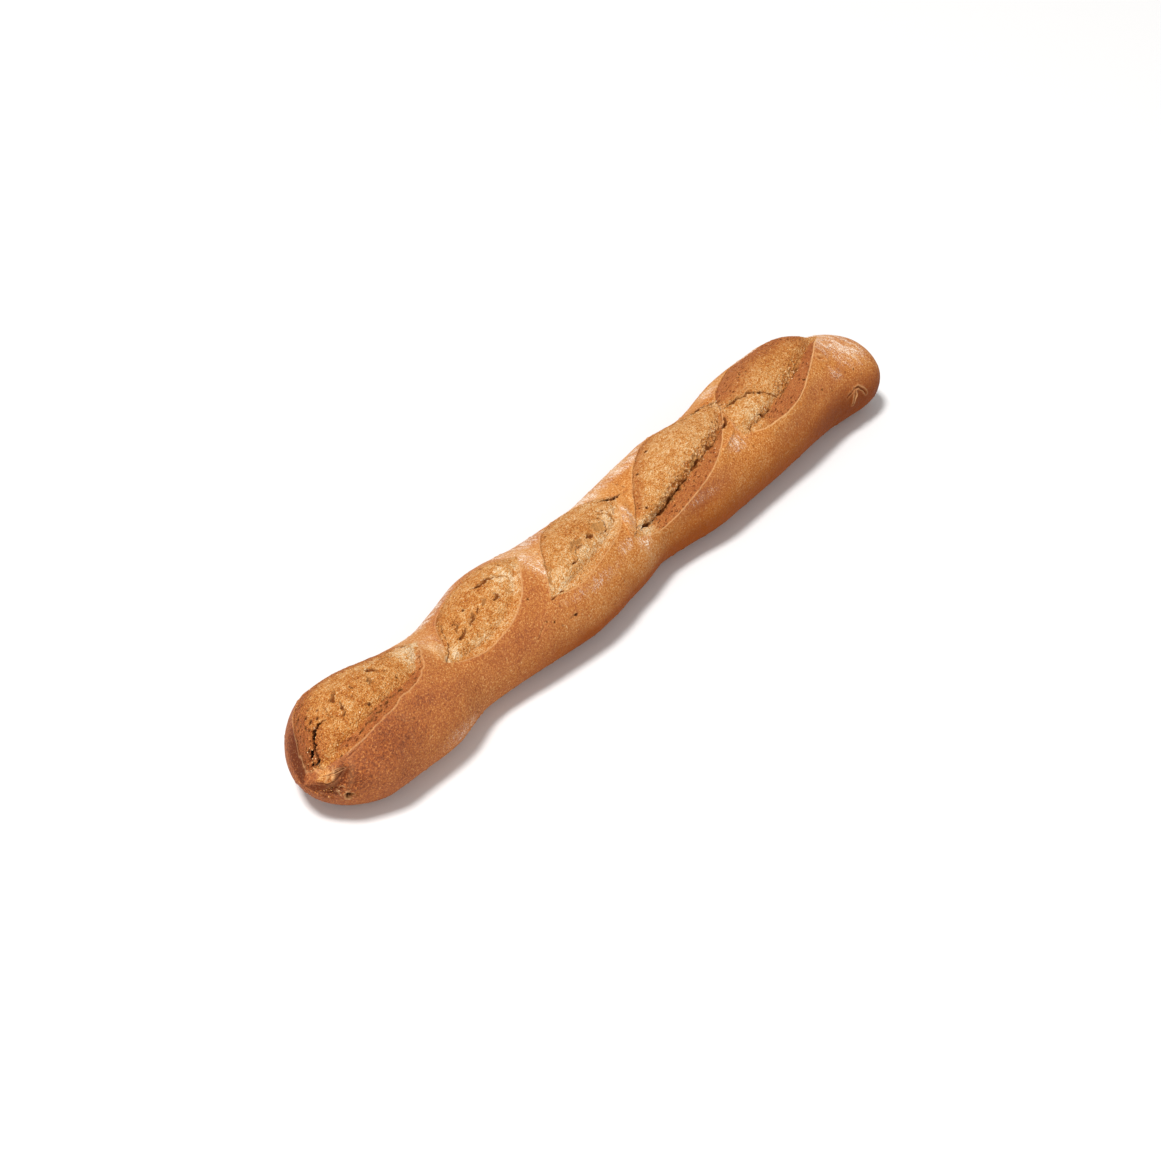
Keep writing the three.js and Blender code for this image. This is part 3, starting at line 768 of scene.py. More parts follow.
def read_crease(crease, at, around, marks, box):
    """A soft fold with a raised rim."""
    ragged = shoved(at, around, CREASE_RAGGED, 5, SEED["crease"])
    distance, taper = follow(crease, *ragged, CREASE_TIP)
    share = distance / crease["half"]
    rim = crease["rim"]
    marks["height"][box] += taper * crease["deep"] * (rim * bell(share - 1.9, 0.8)
                                                      - smooth(1.2, 0.2, share))
    keep_most(marks, "rim", box, rim * taper * bell(share - 1.7, 0.7))


def read_ridge(ridge, at, around, marks, box):
    """A thin pale fold that stands up."""
    distance, taper = follow(ridge, at, around, FOLD_TIP)
    up = taper * bell(distance, ridge["half"])
    marks["height"][box] += ridge["high"] * up
    keep_most(marks, "rim", box, 0.8 * up * up)


# %% [markdown]
# The knob is a soft bump. The bubble burst, so it is a steep hole, painted black inside as
# painted shadow, with a rim that turned up pale on one side, and a flap of its skin still
# stands in it.

# %% The left end


def read_end(at, around, marks):
    """The knob and the burst bubble of the left end."""
    everywhere = slice(None)
    bubble_at, bubble_reach = BUBBLE["spot"][0], BUBBLE["spot"][2]
    knob = bell(spot_distance(at, around, *KNOB["spot"]), 1)
    away = spot_distance(at, around, *BUBBLE["spot"])
    away = away * (1 + 0.5 * waves(at, around, 3, SEED["bubble"]))
    flap = bell(spot_distance(at, around, *FLAP["spot"]), 1)
    marks["height"] += KNOB["high"] * knob + BUBBLE["rim"] * bell(away - 1.2, 0.3)
    marks["height"] -= (BUBBLE["deep"] - FLAP["high"] * flap) * smooth(1, 0.6, away)
    keep_most(marks, "crack_depth", everywhere, (1 - away) * bubble_reach)
    # painted shadow: the inside of the bubble is painted black through the burnt and dark marks
    painted_dark = smooth(1.0, 0.85, away) * smooth(0.7, 0.3, flap)
    keep_most(marks, "burnt", everywhere, painted_dark)
    keep_most(marks, "dark", everywhere, painted_dark)
    turned = waves(at, around, 2.2, SEED["bubble rim"], 2) + (bubble_at - at) / 3
    keep_most(marks, "rim", everywhere, bell(away - 1.12, 0.15) * smooth(-0.5, 0.4, turned))
    uneven = 1 + 0.3 * waves(at, around, 5, SEED["knob"])
    marks["knob"] = smooth(0.25, 0.65, knob * uneven)


# %% [markdown]
# Reading every crack at every place would take minutes, and a crack only matters near its own
# route. So each one is read inside a box round its places, with a margin for its reach.

# %% The whole crust
CRUST_WAVE = {"size": 24, "high": 0.35}  # broad waves of the smooth crust


def crust_jobs():
    """What is read into the crust: how, which item, its places, and the margin round them."""
    jobs = [(read_leaf, score, [score["start"], score["end"], *score["front"], *score["back"]],
             20) for score in SCORES]
    for read, items, margin in [(read_tongue, TONGUES, 8), (read_crack, CRACKS, 6)]:
        jobs += [(read, item, item["through"], margin) for item in items]
    jobs += [(read_hole, hole, [hole[:2]], 3) for hole in HOLES]
    for read, items, margin in [(read_crease, CREASES, 6), (read_ridge, RIDGES, 4)]:
        jobs += [(read, item, item["through"], margin) for item in items]
    return jobs


def read_baking(at, around, marks):
    """Browning along the loaf and, partly as painted shade, down its flanks; and the spots of
    flour, cream and browning.
    """
    marks["flour"] += FLOUR_EVERYWHERE
    for name, spots in SPOTS.items():
        for *spot, amount in spots:
            away = spot_distance(at, around, *spot)
            keep_most(marks, name, slice(None), amount * smooth(1.3, 0.2, away))
    marks["bake"] += np.interp(at, *np.transpose(BAKE_ALONG))
    away = np.abs(around)
    flank = (np.interp(at, *np.transpose(FLANK_ALONG)) * smooth(*FLANK_BREADTH, away)
             + np.interp(at, *np.transpose(FOOT_ALONG)) * smooth(*FOOT_BREADTH, away))
    marks["flank"] = np.minimum(flank, 1) * np.where(around < 0, 1, BACK_FLANK)


def read_crust(at, around):
    """Heights and marks of the crust at places, as a dictionary of arrays."""
    marks = {name: np.zeros(at.shape) for name in MARKS}
    marks.update({name: np.full(at.shape, FAR) for name in GAPS})
    for read, item, places, margin in crust_jobs():
        low, high = np.min(places, axis=0) - margin, np.max(places, axis=0) + margin
        box = ((at > low[0]) & (at < high[0]) & (around > low[1]) & (around < high[1]))
        read(item, at[box], around[box], marks, box)
    read_end(at, around, marks)
    away = spot_distance(at, around, *SWELL["spot"])
    marks["height"] += SWELL["high"] * smooth(1.3, 0, away)
    broad = waves(at, around, CRUST_WAVE["size"], SEED["broad crust"], 2)
    marks["height"] += CRUST_WAVE["high"] * broad * (1 - marks["leaf"])
    read_baking(at, around, marks)
    return marks


sample_at, sample_round = np.meshgrid(np.linspace(0, LENGTH, 200), np.linspace(-60, 60, 60))
sample = read_crust(sample_at, sample_round)
print("crust heights, mm:", [round(float(f(sample["height"])), 2) for f in (np.min, np.max)])

# %% [markdown]
# ## The fine mesh
# The loaf is a tube of rings closed by a point at each end. The rings are dense enough for
# the cracks, and the columns stand close everywhere but underneath, where nothing is seen.
# Each point is moved along the loaf's own outward direction by the height of its place.

# %% Rings and columns
RINGS = 1000
COLUMNS = 420
END_CROWDING = 0.3  # share of the rings that crowd towards the ends
UNDERSIDE_COLUMNS = 0.3  # how close the columns stand below, against 1 above
DENSE_ABOVE = (-0.45, -0.15)  # cosines of the angles between which that changes


def ring_places():
    """Distances of the rings from the left end, closer together near the two ends."""
    share = np.arange(1, RINGS + 1) / (RINGS + 1)
    crowded = (1 - np.cos(np.pi * share)) / 2
    return LENGTH * (END_CROWDING * crowded + (1 - END_CROWDING) * share)


def column_angles():
    """Angles of the columns from the crown, dense on top and sparse on the underside."""
    fine = np.linspace(-np.pi, np.pi, 2001)
    density = UNDERSIDE_COLUMNS + (1 - UNDERSIDE_COLUMNS) * smooth(*DENSE_ABOVE, np.cos(fine))
    sums = np.concatenate([[0], np.cumsum((density[1:] + density[:-1]) / 2)])
    return np.interp(np.arange(COLUMNS) / COLUMNS * sums[-1], sums, fine)


def outward(at, angle):
    """Outward direction of the smooth loaf."""
    stride = 0.3
    turn = stride / ROUND_RADIUS
    along = (loaf_points(np.minimum(at + stride, LENGTH), angle)
             - loaf_points(np.maximum(at - stride, 0), angle))
    around = loaf_points(at, angle + turn) - loaf_points(at, angle - turn)
    normal = np.cross(along, around)
    return normal / np.linalg.norm(normal, axis=-1, keepdims=True)


at, angle = np.meshgrid(ring_places(), column_angles(), indexing="ij")
marks = read_crust(at, angle * ROUND_RADIUS)
points = loaf_points(at, angle) + marks["height"][..., None] * outward(at, angle)
points[..., 2] = np.maximum(points[..., 2], 0)
print("points:", points[..., 0].size)

# %% [markdown]
# A mesh needs only its corners and, for each face, the numbers of its corners in order. The
# numbers follow from how the rings and columns are counted, so no face is drawn by hand.

# %% From arrays to a mesh


def ring_faces():
    """Corner numbers of the quads between rings, and of the triangles at both ends."""
    column = np.arange(COLUMNS)
    beside = (column + 1) % COLUMNS
    ring = np.arange(RINGS - 1)[:, None] * COLUMNS
    quads = np.stack([ring + column, ring + COLUMNS + column,
                      ring + COLUMNS + beside, ring + beside], axis=-1)
    first, last = RINGS * COLUMNS, RINGS * COLUMNS + 1
    top = (RINGS - 1) * COLUMNS
    left = np.stack([column, beside, np.full(COLUMNS, first)], axis=-1)
    right = np.stack([top + beside, top + column, np.full(COLUMNS, last)], axis=-1)
    return quads.reshape(-1, 4), np.vstack([left, right])


def loaf_mesh():
    """The fine loaf as a closed mesh, with the marks kept on its points."""
    tips = loaf_points(np.array([0.0, LENGTH]), np.zeros(2))
    corners = np.vstack([points.reshape(-1, 3), tips]) * MM
    quads, triangles = ring_faces()
    mesh = bpy.data.meshes.new("loaf-crust")
    mesh.from_pydata(corners.tolist(), [], quads.tolist() + triangles.tolist())
    for name, values in marks.items():
        layer = mesh.attributes.new(name, "FLOAT", "POINT")
        at_tips = [values[0].mean(), values[-1].mean()]
        layer.data.foreach_set("value", np.append(values.ravel(), at_tips).astype(np.float32))
    mesh.shade_smooth()
    return mesh


loaf = add_object("loaf-crust", loaf_mesh())
print("faces:", len(loaf.data.polygons))

# %% [markdown]
# ## A short way to write node trees
# Both the relief and the material are node trees. Laying nodes by hand is fine for ten of
# them, but here sums are clearer, so a small class wraps a socket and lets it be used in
# Python sums: each sum adds its own Math node. The same class serves Geometry Nodes and
# materials, and that lets one pattern shape the crust and also colour it.

# %% Sockets that do sums


class Wire:
    """An output socket that can be added, subtracted, multiplied and divided."""

    def __init__(self, tree, socket):
        self.tree, self.socket = tree, socket

    def math(self, operation, *values):
        """Adds a Math node."""
        return self.tree.node("ShaderNodeMath", {"operation": operation},
                              dict(enumerate(values)))

    def __add__(self, other):
        return self.math("ADD", self, other)

    def __sub__(self, other):
        return self.math("SUBTRACT", self, other)

    def __mul__(self, other):
        return self.math("MULTIPLY", self, other)

    def __truediv__(self, other):
        return self.math("DIVIDE", self, other)

    def __rsub__(self, other):
        return self.math("SUBTRACT", other, self)

    def __rtruediv__(self, other):
        return self.math("DIVIDE", other, self)

    __radd__, __rmul__ = __add__, __mul__

    def most(self, other):
        """The larger of two values."""
        return self.math("MAXIMUM", self, other)

    def rise(self, low, high):
        """0 at low, 1 at high, with an easy slope between; low may be above high."""
        return self.tree.node("ShaderNodeMapRange", {"interpolation_type": "SMOOTHSTEP"},
                              {0: self, 1: low, 2: high, 3: 0.0, 4: 1.0})

    def bell(self, width):
        """1 where the socket is 0, and nothing beyond about twice width."""
        return self.math("EXPONENT", (self / width) * (self / width) * -1.0)


# %% [markdown]
# The second class is the tree itself. All its nodes come from one method, which takes a
# node's type, its settings and what goes into its sockets. The methods after it are short
# names for the nodes that bread needs most.

# %% Trees that add their own nodes


class Tree:
    """A node tree to which every node is added by one method, node."""

    def __init__(self, nodes_and_links):
        self.tree = nodes_and_links

    def plug(self, socket, value):
        """Links a socket to a wire, or sets its value."""
        if isinstance(value, Wire):
            self.tree.links.new(value.socket, socket)
        else:
            socket.default_value = value

    def node(self, kind, settings=None, values=None, output=0):
        """Adds a node, makes its settings, fills its sockets, and returns one output."""
        node = self.tree.nodes.new(kind)
        for name, setting in (settings or {}).items():
            if name == "stops":
                while len(node.color_ramp.elements) < len(setting):
                    node.color_ramp.elements.new(1)
                for element, (place, color) in zip(node.color_ramp.elements, setting):
                    element.position, element.color = place, color
            else:
                setattr(node, name, setting)
        for key, value in (values or {}).items():
            self.plug(node.inputs[key], value)
        return Wire(self, node.outputs[output]) if len(node.outputs) else node

    def vector(self, operation, *values, scale=None):
        """Adds a Vector Math node."""
        sockets = dict(enumerate(values))
        if scale is not None:
            sockets[3] = scale
        return self.node("ShaderNodeVectorMath", {"operation": operation}, sockets)

    def mix(self, share, first, second):
        """The first colour with a share of the second over it."""
        return self.node("ShaderNodeMix", {"data_type": "RGBA"},
                         {0: share, 6: first, 7: second}, output=2)

    def place(self):
        """Where a point of the piece is, in millimetres."""
        if self.tree.type == "SHADER":
            metres = self.node("ShaderNodeTexCoord", output="Object")
        else:
            metres = self.node("GeometryNodeInputPosition")
        return self.vector("SCALE", metres, scale=1 / MM)

    def mark(self, name):
        """A number kept on the piece's points."""
        if self.tree.type == "SHADER":
            return self.node("ShaderNodeAttribute", {"attribute_name": name}, output="Fac")
        return self.node("GeometryNodeInputNamedAttribute", {"data_type": "FLOAT"},
                         {"Name": name})

    def noise(self, place, size, detail=2.0, rough=0.5, output=0):
        """Cloudy noise about the middle 0.5, its lumps about size mm across."""
        return self.node("ShaderNodeTexNoise", {},
                         {"Vector": place, "Scale": 1 / size, "Detail": detail,
                          "Roughness": rough}, output=output)

    def cells(self, place, size, feature="F1", output=0):
        """Voronoi cells about size mm across."""
        return self.node("ShaderNodeTexVoronoi", {"feature": feature},
                         {"Vector": place, "Scale": 1 / size}, output=output)


# %% [markdown]
# ## Small patterns
# The torn skin of a leaf is crackled like dry mud and drawn into wrinkles, its red-brown
# face is full of stretched pits, the smooth crust has tiny blisters, and everything is a bit
# lumpy. Each pattern is a function of a place, so that the same line of Python serves the
# relief and the colour.

# %% Crackle, wrinkles, pits and blisters
TEAR_TURN = math.radians(-14)  # the front lips run 14 degrees off the loaf's line
TEAR_STRETCH = 0.36
WRINKLE_STRETCH = 0.55
FIBRE_STRETCH = 0.3  # beside the cracks the folds are finer and longer


def warp(tree, place, size, reach):
    """A place pushed about by noise, by up to about half of reach mm."""
    push = tree.noise(place, size, output=1)
    push = tree.vector("SUBTRACT", push, (0.5, 0.5, 0.5))
    return tree.vector("ADD", place, tree.vector("SCALE", push, scale=reach))


def crackle(tree, place, size):
    """0 in the gaps of a crackled skin and 1 on its plates."""
    gap = tree.cells(warp(tree, place, size * 2, size * 1.6), size, "DISTANCE_TO_EDGE")
    return gap.rise(0.0, 0.28)


def squeezed(tree, place, stretch):
    """A place turned to run along the lips and squeezed, so that round cells come out long."""
    turned = tree.node("ShaderNodeVectorRotate", {"rotation_type": "Z_AXIS"},
                       {"Vector": place, "Angle": TEAR_TURN})
    return tree.vector("MULTIPLY", turned, stretch)


def wrinkles(tree, place, size, stretch=WRINKLE_STRETCH):
    """-0.5 to 0.5: short soft folds that run across a leaf."""
    folds = squeezed(tree, warp(tree, place, 7, 5), (1, stretch, stretch))
    return tree.noise(folds, size, 2, 0.55) - 0.5


def fibres(tree, place, size):
    """-0.5 to 0.5: drawn-out crumb beside a crack."""
    return wrinkles(tree, place, size, FIBRE_STRETCH) * tree.mark("crag").rise(0.05, 0.5)


def chance(tree, place, size, share):
    """1 in a random share of the cells and 0 in the others."""
    pick = tree.node("ShaderNodeSeparateXYZ", {}, {0: tree.cells(place, size, output=1)})
    return pick.rise(share + 0.01, share - 0.01)


def crags(tree, place, size):
    """1 in the ragged little hollows of crumbly skin, and 0 on what stands between them."""
    crumbly = tree.mark("crag")
    hollow = 0.62 - tree.noise(warp(tree, place, size, size * 0.6), size, 2, 0.6)
    return (hollow + crumbly * 0.13).rise(0.2, 0.3) * crumbly.rise(0.1, 0.5)


def grains(tree, place, size):
    """A random number for each grain of the torn skin, and how near its middle a place is."""
    near = warp(tree, place, size, size * 0.5)
    pick = tree.node("ShaderNodeSeparateXYZ", {}, {0: tree.cells(near, size, output=1)})
    return pick - 0.5, 0.6 - tree.cells(near, size)


def flecks(tree, place, size, stretch, share):
    """1 in the middle of stretched flecks, which only a share of the cells have."""
    along = squeezed(tree, warp(tree, place, 5, 2.5), stretch)
    return tree.cells(along, size).rise(0.42, 0.18) * chance(tree, along, size, share)


def pits(tree, place, size, share):
    """1 in the middle of the torn face's stretched pits."""
    return flecks(tree, place, size, (TEAR_STRETCH, 1, 1), share)


def blisters(tree, place, size, share):
    """1 on top of small round blisters, which only a share of the cells have."""
    return tree.cells(place, size).rise(0.34, 0.05) * chance(tree, place, size, share)


# %% [markdown]
# ## The fine relief
# A Displace modifier would need an image or a texture, and it can't tell a leaf from smooth
# crust. Geometry Nodes can: the tree reads the marks on the points, works out how high each
# pattern stands there, and moves the point along its own outward direction. Nothing moves
# where the loaf lies on the floor.

# %% The relief tree
RELIEF = {
    "Lump size": 9.0, "Lump height": 0.5,
    "Crackle size": 3.4, "Crackle height": 0.22,
    "Wrinkle size": 2.0, "Wrinkle height": 0.34,
    "Fibre size": 1.5, "Fibre height": 0.9,
    "Crag size": 2.4, "Crag depth": 0.9,
    "Grit size": 1.5, "Grit height": 0.4,
    "Pit size": 1.4, "Pit depth": 0.55,
    "Blister size": 4.5, "Blister height": 0.35,
}
PITTED, BLISTERED = 0.7, 0.3  # shares of the cells that have a pit or a blister
FLOOR_FADE = (1.0, 6.0)  # heights between which the relief grows from nothing


def new_geometry_tree(name, sizes):
    """An empty Geometry Nodes tree with a geometry, a material and named sizes going in."""
    group = bpy.data.node_groups.new(name, "GeometryNodeTree")
    interface = group.interface
    interface.new_socket("Geometry", in_out="INPUT", socket_type="NodeSocketGeometry")
    for label, size in sizes.items():
        kind = "NodeSocketInt" if isinstance(size, int) else "NodeSocketFloat"
        interface.new_socket(label, in_out="INPUT", socket_type=kind).default_value = size
    interface.new_socket("Material", in_out="INPUT", socket_type="NodeSocketMaterial")
    interface.new_socket("Geometry", in_out="OUTPUT", socket_type="NodeSocketGeometry")
    tree = Tree(group)
    entry = group.nodes.new("NodeGroupInput")
    return tree, {socket.name: Wire(tree, socket) for socket in entry.outputs if socket.name}


def close_geometry_tree(tree, geometry, material):
    """Realize Instances, Set Material and the way out."""
    real = tree.node("GeometryNodeRealizeInstances", {}, {0: geometry})
    painted = tree.node("GeometryNodeSetMaterial", {}, {"Geometry": real, "Material": material})
    tree.node("NodeGroupOutput", {}, {0: painted})
    return tree.tree


def relief_tree():
    """Lumps, plates, wrinkles, pits and blisters, each where its mark says so."""
    tree, given = new_geometry_tree("crust relief", RELIEF)
    place = tree.place()
    leaf, face = tree.mark("leaf"), tree.mark("face")
    lumps = (tree.noise(place, given["Lump size"], 3) - 0.5) * given["Lump height"]
    plates = (crackle(tree, place, given["Crackle size"]) - 0.6) * given["Crackle height"]
    folds = wrinkles(tree, place, given["Wrinkle size"]) * given["Wrinkle height"]
    drawn = fibres(tree, place, given["Fibre size"]) * given["Fibre height"]
    grit = (tree.noise(place, given["Grit size"], 3, 0.7) - 0.5) * given["Grit height"]
    hollows = crags(tree, place, given["Crag size"])
    holes = pits(tree, place, given["Pit size"], PITTED) * given["Pit depth"]
    bumps = blisters(tree, place, given["Blister size"], BLISTERED) * given["Blister height"]
    torn = plates * (1 - face) + folds * (tree.mark("wrinkle") + tree.mark("crag")) + grit
    height = lumps + leaf * torn - face * holes + (1 - leaf) * bumps
    height = height + drawn - hollows * given["Crag depth"]
    z = tree.node("ShaderNodeSeparateXYZ", {}, {0: place}, output=2)
    height = height * z.rise(*FLOOR_FADE)
    offset = tree.vector("SCALE", tree.node("GeometryNodeInputNormal"), scale=height * MM)
    moved = tree.node("GeometryNodeSetPosition", {}, {"Geometry": given["Geometry"],
                                                      "Offset": offset})
    return close_geometry_tree(tree, moved, given["Material"])


# %% [markdown]
# A tree runs as a modifier. The modifier's inputs are known by their identifiers, which are
# looked up by name. Its result is kept as a plain mesh, and the modifier goes.

# %% Running a tree


def make_plain(piece):
    """Turns a piece with its modifiers into a plain mesh."""
    evaluated = piece.evaluated_get(bpy.context.evaluated_depsgraph_get())
    mesh = bpy.data.meshes.new_from_object(evaluated, preserve_all_data_layers=True,
                                           depsgraph=bpy.context.evaluated_depsgraph_get())
    piece.modifiers.clear()
    piece.data = mesh
    mesh.name = piece.name
    mesh.shade_smooth()


def run_tree(piece, group, sizes, material):
    """Runs a Geometry Nodes tree on a piece and leaves the result as its plain mesh."""
    modifier = piece.modifiers.new(group.name, "NODES")
    modifier.node_group = group
    for item in group.interface.items_tree:
        if item.in_out == "INPUT" and item.name in sizes:
            modifier[item.identifier] = sizes[item.name]
        elif item.in_out == "INPUT" and item.name == "Material":
            modifier[item.identifier] = material
    make_plain(piece)


def new_material(name):
    """A material with an empty node tree."""
    material = bpy.data.materials.new(name)
    material.use_nodes = True
    material.node_tree.nodes.clear()
    return material


crust_material = new_material("crust")
run_tree(loaf, relief_tree(), RELIEF, crust_material)
print("after relief:", len(loaf.data.vertices), "points")

# %% [markdown]
# ## Fewer triangles
# The smooth stretches don't need that many faces. Decimate merges the points that matter
# least, so the lips, cracks and pits keep theirs.

# %% Thinning
TRIANGLES = 197000


def triangle_count(piece):
    """How many triangles a piece's faces are worth."""
    return sum(len(face.vertices) - 2 for face in piece.data.polygons)


thin_out = loaf.modifiers.new("thin out", "DECIMATE")
thin_out.ratio = TRIANGLES / triangle_count(loaf)
make_plain(loaf)
print("triangles:", triangle_count(loaf))
print("marks kept:", [layer.name for layer in loaf.data.attributes if layer.name in marks])

# %% [markdown]
# ## The colour of bread
# Crust browns from pale straw to deep red-brown as its sugars and proteins cook, and every
# part of this loaf is somewhere on that one line. So one colour ramp serves the whole loaf,
# and each region only says how far it has baked. Flour, crumb and the thin edge of the lips
# lie over it. Colours are given as the eye sees them, 0 to 255, and turned to linear light.

# %% Colours


def seen(red, green, blue):
    """A colour as seen on a screen, as linear light."""
    parts = [value / 255 for value in (red, green, blue)]
    return tuple(p / 12.92 if p < 0.04045 else ((p + 0.055) / 1.055) ** 2.4
                 for p in parts) + (1,)


BROWNING_RAMP = [
    (0.0, seen(244, 216, 178)), (0.22, seen(226, 177, 118)), (0.45, seen(206, 134, 62)),
    (0.7, seen(172, 94, 38)), (0.88, seen(140, 70, 32)), (1.0, seen(104, 48, 22)),
]
FLOUR_COLOUR = seen(246, 230, 210)
CRUMB_COLOUR = seen(216, 158, 94)
SHADED_CRUMB_COLOUR = seen(134, 74, 32)
HOLLOW_SHADE_COLOUR = seen(168, 88, 28)
BURNT_COLOUR = seen(104, 50, 22)
LIP_COLOUR = seen(228, 176, 122)
PIT_AND_STEP_SHADOW_COLOUR = seen(96, 40, 16)
DEEP_SHADOW_COLOUR = seen(30, 12, 8)
DUSKY_COLOUR = seen(168, 108, 78)
SCORCH_COLOUR = seen(190, 106, 40)
FACE_COLOUR = seen(178, 104, 62)
FLANK_BROWN_AND_SHADE_COLOUR = seen(144, 68, 4)
DEEP_FLANK_BROWN_AND_SHADE_COLOUR = seen(104, 40, 2)
PALE_SPECK_AND_GLINT_COLOUR = seen(230, 180, 124)
DARK_SPECK = seen(116, 58, 26)
print("browning steps:", [place for place, colour in BROWNING_RAMP])

# %% [markdown]
# Over the ramp lie patterns of many sizes: broad clouds, mottling, and grain as fine as a
# crumb. Two tables say how much each pattern browns the smooth and the torn skin, and a third
# says how much of each finish covers what is under it.

# %% Sizes and strengths of the patterns
CLOUD_SIZE, MOTTLE_SIZE, GRAIN_SIZE = 26, 6, 1.0
SPECK_SIZE, DARK_SPECK_SIZE, GLINT_SIZE = 1.1, 4.3, 0.7
DUST_SIZE, STREAK_SIZE, BLOTCH_SIZE, BRUSH_SIZE, HAZE_SIZE = 0.7, 2.2, 5, 1.2, 0.8
TORN_GRAIN_SIZE, CRISP_SIZE, THREAD_SIZE, PATCH_SIZE, SCORCH_SIZE = 1.2, 0.6, 0.9, 7, 1.1
STREAK_SQUEEZE = (1.4, 0.34, 0.5)  # streaks of flour run across the loaf
BRUSH_SQUEEZE = (1.1, 0.28, 0.28)
THREAD_SQUEEZE = (0.25, 1, 1)  # threads and scorch marks run along it
SCORCH_SQUEEZE = (0.3, 1, 1)
SMOOTH_BROWNS = {"clouds": 0.35, "mottle": 0.24, "fine": 1.15, "specks": -0.2}
# Negative folds and fibres: their tops are painted paler as painted highlight, their gaps browner
# as painted warm shade.
TORN_BROWNS = {"all": 0.30, "patches": 0.11, "mottle": 0.1, "clouds": 0.1, "fine": 0.5,
               "crisp": 1.45, "threads": 0.7, "grains": 0.1, "folds": -0.2, "fibres": -0.5,
               "gaps": 0.06, "cream": -0.26, "creamy patches": 0.12, "bake": 0.5, "face": 0.26}
COVER = {"dusky": 0.3, "flank": 0.96, "hot flank": 0.8, "speck": 0.1, "flank speck": 0.08,
         "dark speck": 0.6, "dust": 0.85, "brushed": 0.8, "scorch": 0.35, "face": 0.7,
         "glint": 0.5, "pit": 0.6, "hollow": 0.55, "burnt": 0.6, "burnt crumb": 0.9,
         "back edge": 0.42, "light line": 0.8, "seam": 0.16}
SHINE = 0.04  # bread hardly mirrors at all

# %% [markdown]
# ### Smooth skin
# Flour is what makes a crust look rustic, and it must look like powder: it lies in blotches,
# it was brushed into streaks by the cloth, and only a thin haze joins them.

# %% Smooth skin and its flour


def browned(tree, share):
    """The colour of bread browned from 0, still pale, to 1, nearly burnt."""
    return tree.node("ShaderNodeValToRGB", {"stops": BROWNING_RAMP}, {0: share})


def flour(tree, place):
    """How much flour covers a place, and the dust alone, which is what dulls the crust."""
    amount = tree.mark("flour")
    streaky = tree.vector("MULTIPLY", warp(tree, place, 9, 8), STREAK_SQUEEZE)
    streaks = tree.noise(streaky, STREAK_SIZE, 3, 0.6)
    dust = tree.noise(place, DUST_SIZE, 2, 0.7) * 0.9 + streaks * 0.3
    blotch = 0.25 + tree.noise(streaky, BLOTCH_SIZE, 3, 0.6).rise(0.44, 0.58) * 0.75
    dusted = (dust + amount * 0.12).rise(0.67, 0.72) * amount.rise(0.05, 0.5) * blotch
    brushed = flecks(tree, place, BRUSH_SIZE, BRUSH_SQUEEZE, 0.4)
    brushed = brushed * (amount + streaks).rise(0.8, 1.1) * amount.rise(0.1, 0.3)
    powder = tree.noise(place, HAZE_SIZE, 2, 0.7).rise(0.4, 0.6)
    haze = amount * (streaks * 0.8 - 0.2) * blotch * powder
    return (dusted * COVER["dust"]).most(brushed * COVER["brushed"]).most(haze), dusted


def smooth_crust(tree, place, clouds, mottle, fine):
    """Smooth skin: browning, mottling, specks, the darker flanks, partly painted shade, and its
    flour.
    """
    bake, flank = tree.mark("bake"), tree.mark("flank")
    specks = tree.noise(place, SPECK_SIZE, 2, 0.6).rise(0.55, 0.64)
    browns = SMOOTH_BROWNS
    skin = browned(tree, bake - tree.mark("pale") + clouds * browns["clouds"]
                   + mottle * browns["mottle"] + fine * browns["fine"]
                   + specks * browns["specks"])
    dusky = bake.rise(0.45, 0.68) * bake.rise(1.1, 0.75)
    skin = tree.mix(dusky * COVER["dusky"], skin, DUSKY_COLOUR)
    # painted shade and browning: the flanks darker, the low far flank darkest
    skin = tree.mix(flank * COVER["flank"], skin, FLANK_BROWN_AND_SHADE_COLOUR)
    deep_flank_shade = bake.rise(0.55, 0.95) * flank
    skin = tree.mix(deep_flank_shade * COVER["hot flank"], skin, DEEP_FLANK_BROWN_AND_SHADE_COLOUR)
    pale = specks * (COVER["speck"] - flank * COVER["flank speck"])
    skin = tree.mix(pale, skin, PALE_SPECK_AND_GLINT_COLOUR)
    dark = blisters(tree, place, DARK_SPECK_SIZE, 0.12)
    skin = tree.mix(dark * COVER["dark speck"], skin, DARK_SPECK)
    white, dusted = flour(tree, place)
    return tree.mix(white, skin, FLOUR_COLOUR), dusted


# %% [markdown]
# ### Torn skin
# Under the lips the dough was drawn out while it baked. It is golden, creamier where a
# neighbour sheltered it, and the steep face under a lip is red-brown and pitted. The patterns
# of the relief are used again here, so that their tops are paler and their gaps browner; on the
# folds and drawn fibres that is painted highlight on the tops and painted warm shade in the gaps.

# %% Torn skin


